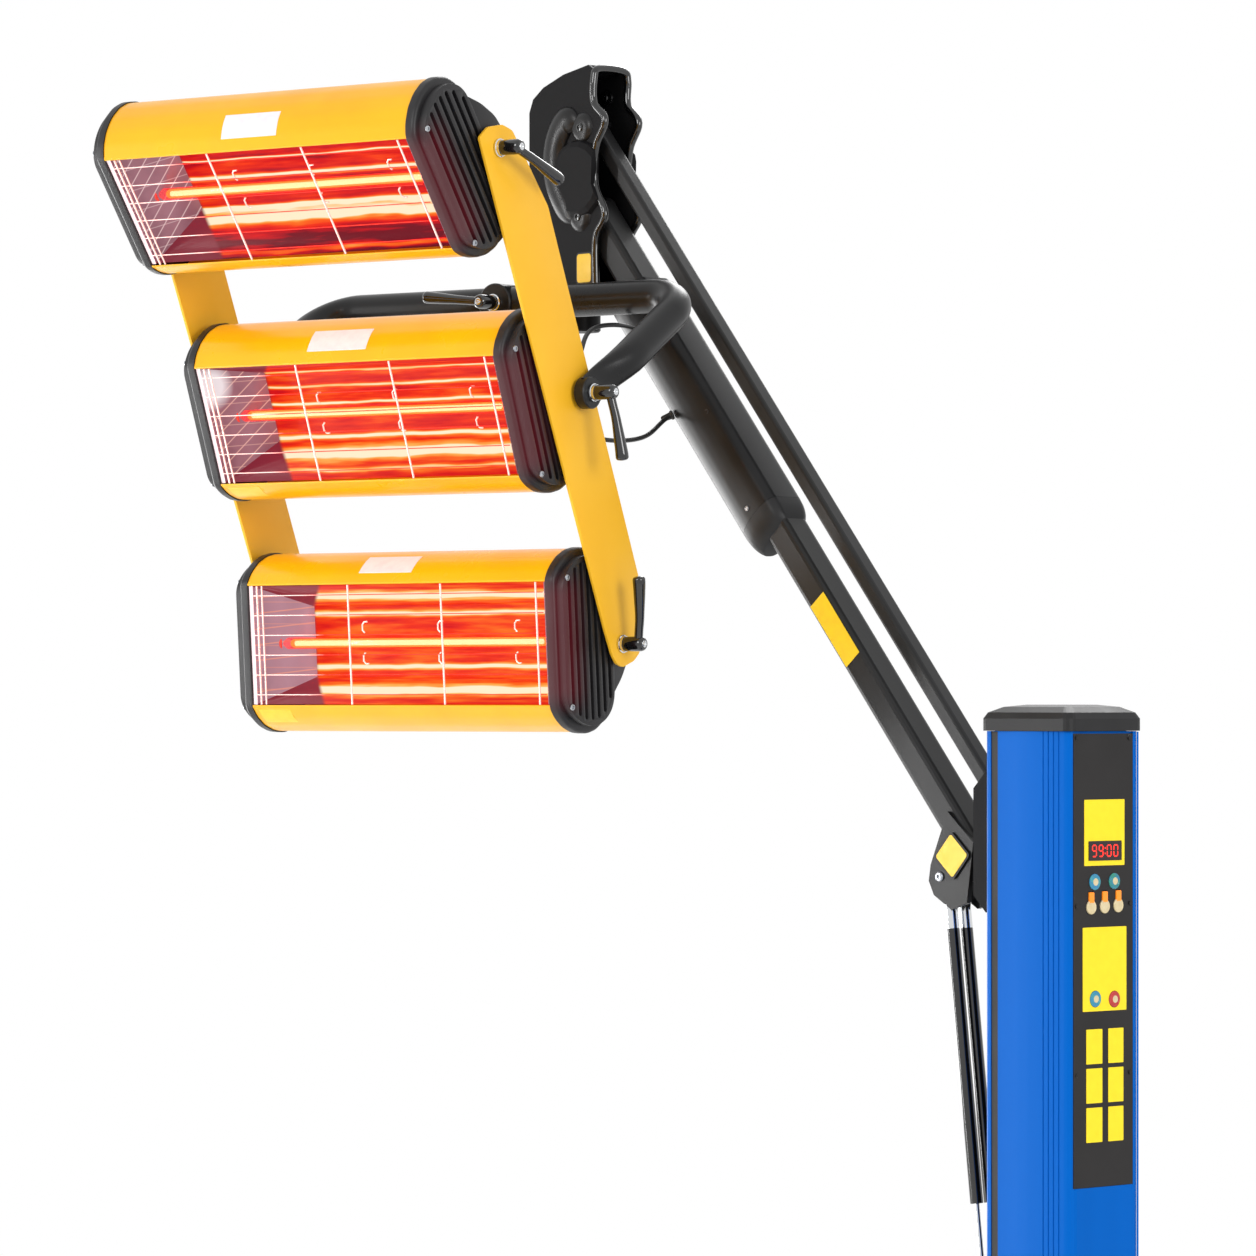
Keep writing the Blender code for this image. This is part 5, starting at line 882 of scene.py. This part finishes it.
# Arm: cover with its nose, screw and plug; half outline across the arm in mm, nose rings as depth and share
armCover = {
    "outline": (
        (16.5, 19.5), (23.5, 14), (25, 4), (25, -6), (24, -16), (21.8, -25), (18, -33), (12.5, -38.5), (6, -40.5),
    ),
    "nose": ((0.3, 1.0), (7.0, 0.985), (12.0, 0.95), (17.0, 0.89), (21.0, 0.81), (24.5, 0.71), (27.0, 0.60)),
    "corner": 3.0, "middle": -0.016, "labelAt": 0.3075,
    "screwAt": (0.0249, -0.0095, 0.4660), "plugAt": (0.0243, 0.0076, 0.5740),
    "plug": ((2.6, -0.3), (2.6, 0.25), (1.7, 0.3), (1.5, -0.2), (0, -0.2)),
}
coverPlace = armFrame @ Matrix.Translation((0, 0, coverSpan[0]))
ring = [(y * mm, n * mm, 0.0) for y, n in armCover["outline"]]
ring += [(-y, n, z) for y, n, z in ring[::-1]]
cover = outlineFace(ring)
roundCorners(cover, armCover["corner"], 4)
pushOut(cover, (0, 0, coverSpan[1] - coverSpan[0]))
finishPiece("cover", cover, "glossBlackMoulding", "arm", ("arm_cover",), coverPlace, 40)
section, middle = roundedOutline(ring, armCover["corner"]), armCover["middle"]
nose = lofted([
    [(p.x * s, middle + (p.y - middle) * (1 + s) / 2, -depth * mm) for p in section] for depth, s in armCover["nose"]
])
finishPiece("cover_nose", nose, "satinBlackMoulding", "arm", ("arm_cover_nose",), coverPlace, 50)

foil = slab(rectangle(0.0160, 0.0, 0.0, 11.0, 37.0), (0.0003, 0, 0), 0.4)
finishPiece("arm_label", foil, "amberFoil", "arm", (), armFrame @ Matrix.Translation((0, 0, armCover["labelAt"])))
lugBadge = {"at": (-0.1155, -0.0215, 1.0355), "turn": 42.0, "boltAt": (-0.1320, -0.0202, 1.0160)}
badgePlace = Matrix.Translation(lugBadge["at"]) @ Matrix.Rotation(math.radians(lugBadge["turn"]), 4, "Y")
badge = slab(rectangle(0.0, 0.0, 0.0, 16.2, 16.2, "XZ"), (0, -0.0007, 0), 3.6)
finishPiece("lug_badge_edge", badge, "blackRubber", "arm", (), badgePlace)
finishPiece("lug_bolt", screwHead(4.6, 2.4), "zincPlatedSteel", "arm", (), axisFrame(lugBadge["boltAt"], (0, -1, 0)))
badge = slab(rectangle(0.0, -0.0007, 0.0, 14.2, 14.2, "XZ"), (0, -0.0003, 0), 2.6)
finishPiece("lug_badge", badge, "amberFoil", "arm", (), badgePlace)
for name, shape, finish, at in (
    ("cover_screw", screwHead(2.4, 0.9), "zincPlatedSteel", armCover["screwAt"]),
    ("cover_plug", turned(armCover["plug"], 24), "blackRubber", armCover["plugAt"]),
):
    finishPiece(name, shape, finish, "arm", (), armFrame @ axisFrame(at, (1, 0, 0)))

# Knuckle: a rolled rim round its mouth, a crescent pressed round the pivots, bosses, bolts and a plain badge
knuckle = {
    "rim": 3.8, "rimInset": 2.0, "edge": 0.0226, "face": 0.0240, "bolts": ((-0.6120, 1.7388), (-0.6149, 1.6517)),
    "mouth": (
        (-592, 1584), (-591.8, 1629.7), (-578.8, 1652.3), (-593.2, 1681.6), (-591.8, 1718.7), (-578.8, 1744.1),
        (-594.6, 1762.9), (-594.6, 1786.0),
    ),
    "across": (-0.5966, 0.0165, 1.7958), "crescent": 15.0, "crescentRise": 0.48,
    "ridge": ((-618, 1744), (-636, 1746), (-649, 1730), (-653, 1707), (-648.5, 1685), (-636, 1664), (-620, 1648)),
    "taper": (0.35, 0.55, 0.72, 0.84, 0.92, 0.97),
    "boss": ((15.0, -0.4), (14.0, 1.4), (10.5, 3.2), (7.2, 3.7), (0, 3.7)),
    "innerBoss": ((8.0, 0), (7.6, 1.6), (5.0, 2.2), (0, 2.2)), "innerAt": (-0.6240, 0.0204, 1.7720),
    "badgeAt": (-0.6088, 1.6010),
}
nearEdge = [((x - knuckle["rimInset"]) * mm, -knuckle["edge"], z * mm) for x, z in knuckle["mouth"]]
x, y, z = knuckle["across"]
rim = nearEdge + [(x, -y, z), (x, y, z)] + [(x, -y, z) for x, y, z in nearEdge[::-1]]
finishPiece("knuckle_rim", piping(softPath(rim, 7), knuckle["rim"], 6), "blackEnamel", "knuckle")
for side, word in ((-1, "near"), (1, "far")):
    path, taper = softPath([(x * mm, 0, z * mm) for x, z in knuckle["ridge"]], 6), list(knuckle["taper"])
    swell = taper + [1.0] * (len(path) - 2 * len(taper)) + taper[::-1]
    crescent = piping(path, knuckle["crescent"], 12, swell)
    for vert in crescent.verts:
        vert.co.y = max(vert.co.y, 0.0) * knuckle["crescentRise"]
    bmesh.ops.remove_doubles(crescent, verts=crescent.verts, dist=0.05 * mm)
    if side < 0:
        bmesh.ops.transform(crescent, verts=crescent.verts, matrix=Matrix.Scale(-1, 4, (0, 1, 0)))
        bmesh.ops.recalc_face_normals(crescent, faces=crescent.faces)
    crescent.transform(Matrix.Translation((0, side * (knuckle["face"] - 0.4 * mm), 0)))
    for x, z in knuckle["bolts"]:
        added(crescent, turned(knuckle["boss"], 48), axisFrame((x, side * knuckle["face"], z), (0, side, 0)))
    finishPiece("knuckle_pressing_" + word, crescent, "blackTubeCoat", "knuckle", (), None, 40)
    heads = [(x, side * (knuckle["face"] + 3.6 * mm), z) for x, z in knuckle["bolts"]]
    finishPiece("knuckle_bolts_" + word, screwRow(4.4, 1.7, heads, (0, side, 0)), "blackEnamel", "knuckle")
inner = turned(knuckle["innerBoss"], 32)
added(inner, screwHead(3.6, 1.6), Matrix.Translation((0, 0, 2.1 * mm)))
finishPiece("knuckle_inner_screw", inner, "blackEnamel", "knuckle", (), axisFrame(knuckle["innerAt"], (0, -1, 0)))
x, z = knuckle["badgeAt"]
badge = slab(rectangle(x, -knuckle["face"], z, 11.5, 15.5, "XZ"), (0, -0.0006, 0), 4.0)
finishPiece("knuckle_badge_edge", badge, "blackRubber", "knuckle")
badge = slab(rectangle(x, -0.0246, z, 10.0, 14.0, "XZ"), (0, -0.0004, 0), 3.2, 0.15)
finishPiece("knuckle_badge", badge, "amberFoil", "knuckle")
print("stage: arm and knuckle made")


# Gas struts: turned profiles as radius and place along the strut in mm
strut = {
    "top": (-0.1320, 0, 1.0160), "foot": (-0.0860, 0, 0.6330), "fromMiddle": 0.0090,
    "cylinder": (
        (0, 12), (5.2, 12), (5.6, 13.5), (5.6, 47.8), (6, 48.3), (6, 299.2), (5.8, 300), (5.4, 299.8), (5.4, 18),
        (0, 18),
    ),
    "neck": ((0, 2), (4, 2), (4, 13), (0, 13)),
    "eye": ((4.3, -4.5), (6.6, -4.5), (7.0, -4.0), (7.0, 4.0), (6.6, 4.5), (4.3, 4.5)),
    "collar": ((0, 16.5), (5.85, 16.5), (5.95, 17.0), (5.95, 47.5), (5.85, 48.0), (0, 48.0)),
    "rod": ((0, 0), (2.5, 0), (2.5, 235.0), (2.2, 235.7), (0, 235.7)),
    "rodEye": ((4.3, -4.5), (7.0, -4.5), (7.0, 4.5), (4.3, 4.5)),
}
for side, word in ((-1, "near"), (1, "far")):
    shift = Vector((0, side * strut["fromMiddle"], 0))
    top, foot = Vector(strut["top"]) + shift, Vector(strut["foot"]) + shift
    body, place, rodPlace = "strut_body_" + word, axisFrame(top, foot - top), axisFrame(foot, top - foot)
    tube = turned(strut["cylinder"], 32)
    added(tube, turned(strut["neck"], 24))
    added(tube, turned(strut["eye"], 32), place.inverted() @ axisFrame(top, (0, 1, 0)))
    finishPiece("strut_cylinder_" + word, tube, "blackEnamel", body, (body,), place)
    finishPiece("strut_collar_" + word, turned(strut["collar"], 32), "polishedSteel", body, (), place)
    rod = turned(strut["rod"], 24)
    added(rod, turned(strut["rodEye"], 32), rodPlace.inverted() @ axisFrame(foot, (0, 1, 0)))
    body = "strut_rod_" + word
    finishPiece("strut_rod_bright_" + word, rod, "polishedSteel", body, (body,), rodPlace)


# Leads from the arm cover to the middle cassette
leads = {
    "lower": {
        "exit": (0.6060, -0.0200, -0.0320), "leaves": (0.0, -0.8, -0.6), "entry": (0.1500, -0.0360),
        "route": (
            (0.1600, 0.1650, -0.0320), (0.1740, 0.1220, -0.0370), (0.1740, 0.0800, -0.0420),
            (0.1640, 0.0400, -0.0360),
        ),
    },
    "upper": {
        "exit": (0.6900, -0.0250, -0.0080), "leaves": (0.0, -1.0, 0.0), "entry": (0.1450, 0.0000),
        "route": (
            (0.1510, 0.1500, 0.0740), (0.1400, 0.1100, 0.0730), (0.1420, 0.0800, 0.0660),
            (0.1540, 0.0600, 0.0440), (0.1600, 0.0420, 0.0240),
        ),
    },
}
# one run of sheath for each joint between the arm and the lamp
leadChain = ("arm", "knuckle", "swivel", "yoke", "lamp_frame", "cassette_middle")
leadSetup = {
    "radius": 2.2, "evenings": 60, "shares": (0.0, 0.2, 0.45, 0.6, 0.8, 1.0),
    "boot": ((0, 0.2), (4.6, 0.2), (4.6, 2.0), (3.5, 3.0), (2.9, 11), (2.3, 12)),
}
middleSeat = cassetteFrame("middle")
for word, lead in leads.items():
    # along the arm, sideways and over it
    out, leave = [armAlong * s + Vector((0, y, 0)) + armOver * n for s, y, n in (lead["leaves"], lead["exit"])]
    out, leave = out.normalized(), armFoot + leave
    x, z = lead["entry"]
    entry, before = middleSeat @ Vector((x, 0.0856, z)), middleSeat @ Vector((x, 0.0970, z))
    route = [headFrame @ Vector(p) for p in lead["route"]]
    path = softPath([leave + out * 0.6 * mm, leave + out * 12 * mm] + route + [before, entry], 8)
    for _ in range(leadSetup["evenings"]):  # evens the bends where short and long spans meet
        path[1:-1] = [(a + 2 * b + c) / 4 for a, b, c in zip(path, path[1:], path[2:])]
    travelled = [0.0]
    for a, b in zip(path, path[1:]):
        travelled.append(travelled[-1] + (b - a).length)
    cuts = [
        min(range(len(path)), key=lambda k: abs(travelled[k] - share * travelled[-1]))
        for share in leadSetup["shares"]
    ]
    for i, (first, second) in enumerate(zip(leadChain, leadChain[1:])):
        run = path[cuts[i] : cuts[i + 1] + 2]
        node = ("lead_" + word,) if first == "yoke" else ()
        sheath = piping(run, leadSetup["radius"], 5)
        part = finishPiece(f"lead_sheath_{i}_{word}", sheath, "leadSheath", None, node)
        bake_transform(part)
    for end, carrier, at, along in (("arm", "arm", leave, out), ("lamp", "cassette_middle", entry, before - entry)):
        boot = turned(leadSetup["boot"], 24)
        finishPiece(f"lead_boot_{end}_{word}", boot, "blackRubber", carrier, (), axisFrame(at, along))
print("stage: struts and leads made")


# Column: rubber strips in its sides and a bead beside the panel, over the whole length
column = {"midZ": 0.6325, "half": 517.0, "stripX": -0.0394, "stripY": 0.0450, "bead": (0.0532, 0.0424)}
for side, word in ((-1, "near"), (1, "far")):
    groove = rectangle(column["stripX"], side * column["stripY"], column["midZ"], 4.4, column["half"], "XZ")
    finishPiece("column_strip_" + word, slab(groove, (0, side * 0.0004, 0)), "blackRubber", "stand")
bead = slab(rectangle(*column["bead"], column["midZ"], 1.1, column["half"]), (0.0009, 0, 0), 0.0, 0.4)
finishPiece("column_bead", bead, "blueProfileCoat", "stand")

# Panel: keys as place across, height over the floor and finish, foils as their edges in mm from the panel's middle
panel = {
    "face": 0.0533, "midZ": 1.178, "hole": 7.6,
    "keys": {
        "button_select": (-14.7, 1015.5, "blueKey"), "button_mode": (11.3, 1015.8, "greenKey"),
        "button_stop": (-14.0, 911.0, "blueKey"), "button_start": (11.3, 910.0, "redKey"),
    },
    "lampKeys": {"button_lamp_1": (-19.3, 993.0), "button_lamp_2": (-1.4, 993.5), "button_lamp_3": (16.7, 994.0)},
    "screws": ((-38.0, 1144.2), (31.0, 1145.7), (-38.0, 994.0), (33.0, 995.5), (-38.0, 843.3), (33.0, 843.6)),
    "smallRows": ((-325, -294), (-360, -329), (-395, -364)), "smallColumns": ((-25.9, -4.7), (3.3, 23.4)),
    "key": ((0, -4.5), (7.2, -4.5), (7.2, 0.6), (6.8, 1.0), (5.6, 1.0), (5.2, 0.7), (3.6, 1.4), (0, 1.6)),
    "keyFace": ((0, 1.45), (3.3, 1.4), (3.3, 1.5), (0, 1.66)),
    "lampKey": ((0, -4.5), (6.3, -4.5), (6.3, 0.7), (5.6, 1.2), (4.9, 0.9), (2.4, 1.45), (0, 1.55)),
}


def onPanel(y, z, lift=0.0):
    return (panel["face"] + lift * mm, y * mm, z * mm)


def foilPlate(name, y0, y1, z0, z1, punched=()):
    x, y, z = onPanel((y0 + y1) / 2, panel["midZ"] / mm + (z0 + z1) / 2, 0.02)
    sheet = slab(rectangle(x, y, z, (y1 - y0) / 2, (z1 - z0) / 2), (0.3 * mm, 0, 0), 0.6, segments=2)
    for key in punched:
        punch = turned(((0, -3), (panel["hole"], -3), (panel["hole"], 3), (0, 3)), 48)
        punch.transform(axisFrame(onPanel(*panel["keys"][key][:2]), (1, 0, 0)))
        sheet = cutAway(sheet, punch)
    finishPiece(name, sheet, "yellowFoil", "stand")


foilPlate("plate_display", -28.6, 24.8, -148, -89)
foilPlate("plate_diagram", -30.6, 27.4, -278, -203, ("button_stop", "button_start"))
screws = screwRow(2.0, 0.7, [onPanel(y, z, -0.05) for y, z in panel["screws"]], (1, 0, 0))
finishPiece("panel_screws", screws, "blackEnamel", "stand")
for i, (z0, z1) in enumerate(panel["smallRows"]):
    for j, (y0, y1) in enumerate(panel["smallColumns"]):
        foilPlate(f"plate_small_{i}_{j}", y0, y1, z0, z1)

# Display: the digits' middles across the window, and each bar as place across, height and whether it lies flat
display = {
    "at": (-1.3, 1043.2), "half": (22.0, 8.8), "figures": ((-14.4, "9"), (-5.6, "9"), (5.2, "0"), (14.0, "0")),
    "lit": {"9": "abcdfg", "0": "abcdef"},
    "bars": {
        "a": (0, 5, 1), "b": (2.6, 2.5, 0), "c": (2.6, -2.5, 0), "d": (0, -5, 1), "e": (-2.6, -2.5, 0),
        "f": (-2.6, 2.5, 0), "g": (0, 0, 1),
    },
}
y, z = display["at"]
window = slab(rectangle(*onPanel(y, z, 0.25), *display["half"]), (0.5 * mm, 0, 0), 0.8)
finishPiece("display_window", window, "displayWindow", "stand", ("display",))
digits = bmesh.new()
for across, figure in display["figures"]:
    for bar in display["lit"][figure]:
        dy, dz, flat = display["bars"][bar]
        middle, half = onPanel(y + across + dy, z + dz, 0.72), (2.0, 0.55) if flat else (0.55, 2.0)
        added(digits, slab(rectangle(*middle, *half), (0.08 * mm, 0, 0), 0.3, segments=1))
for dz in (-2.4, 2.4):
    added(digits, slab(rectangle(*onPanel(y - 0.2, z + dz, 0.72), 0.6, 0.6), (0.08 * mm, 0, 0)))
finishPiece("display_digits", digits, "litDigit", "stand")

for name, (y, z, finish) in panel["keys"].items():
    place = axisFrame(onPanel(y, z), (1, 0, 0))
    finishPiece(name + "_key", turned(panel["key"]), finish, name, (name,), place)
    finishPiece(name + "_face", turned(panel["keyFace"], 24), "ivoryKey", name, (), place)
for name, (y, z) in panel["lampKeys"].items():
    place = axisFrame(onPanel(y, z), (1, 0, 0))
    finishPiece(name + "_key", turned(panel["lampKey"]), "ivoryKey", name, (name,), place)
    neck = slab(rectangle(*onPanel(y, z + 8.6, -2.0), 3.2, 4.8), (0.0032, 0, 0), 1.2, 0.3)
    finishPiece(name + "_neck", neck, "amberLens", name)
print("stage: column and panel made")


# Wheels: the body that each rides on and its place, and half a section as radius and place across in mm
wheel = {
    "axle": 0.037,
    "places": {
        "caster_wheel_right": ("front_wheel_right", -0.445, -0.33),
        "caster_wheel_left": ("front_wheel_left", -0.445, 0.33),
        "rear_wheel_right": ("rear_wheel_right", 0.33, -0.30), "rear_wheel_left": ("rear_wheel_left", 0.33, 0.30),
    },
    "tyre": [(25.0, -9.5), (32.0, -12.0), (34.5, -11.2), (36.5, -8.0), (37.0, -3.0)],
    "centre": [(4.8, -12.0), (10.0, -12.0), (11.0, -8.0), (22.0, -6.0), (25.2, -10.0)],
}
for name, (body, x, y) in wheel["places"].items():
    place = axisFrame((x, y, wheel["axle"]), (0, 1, 0))
    for piece, finish, steps, replaced in (("tyre", "blackRubber", 64, (name,)), ("centre", "greyNylon", 48, ())):
        half = wheel[piece]
        closed = turned(half + [(radius, -across) for radius, across in half[::-1]] + half[:1], steps)
        finishPiece(f"{name}_{piece}", closed, finish, body, replaced, place)
print("stage: wheels made")
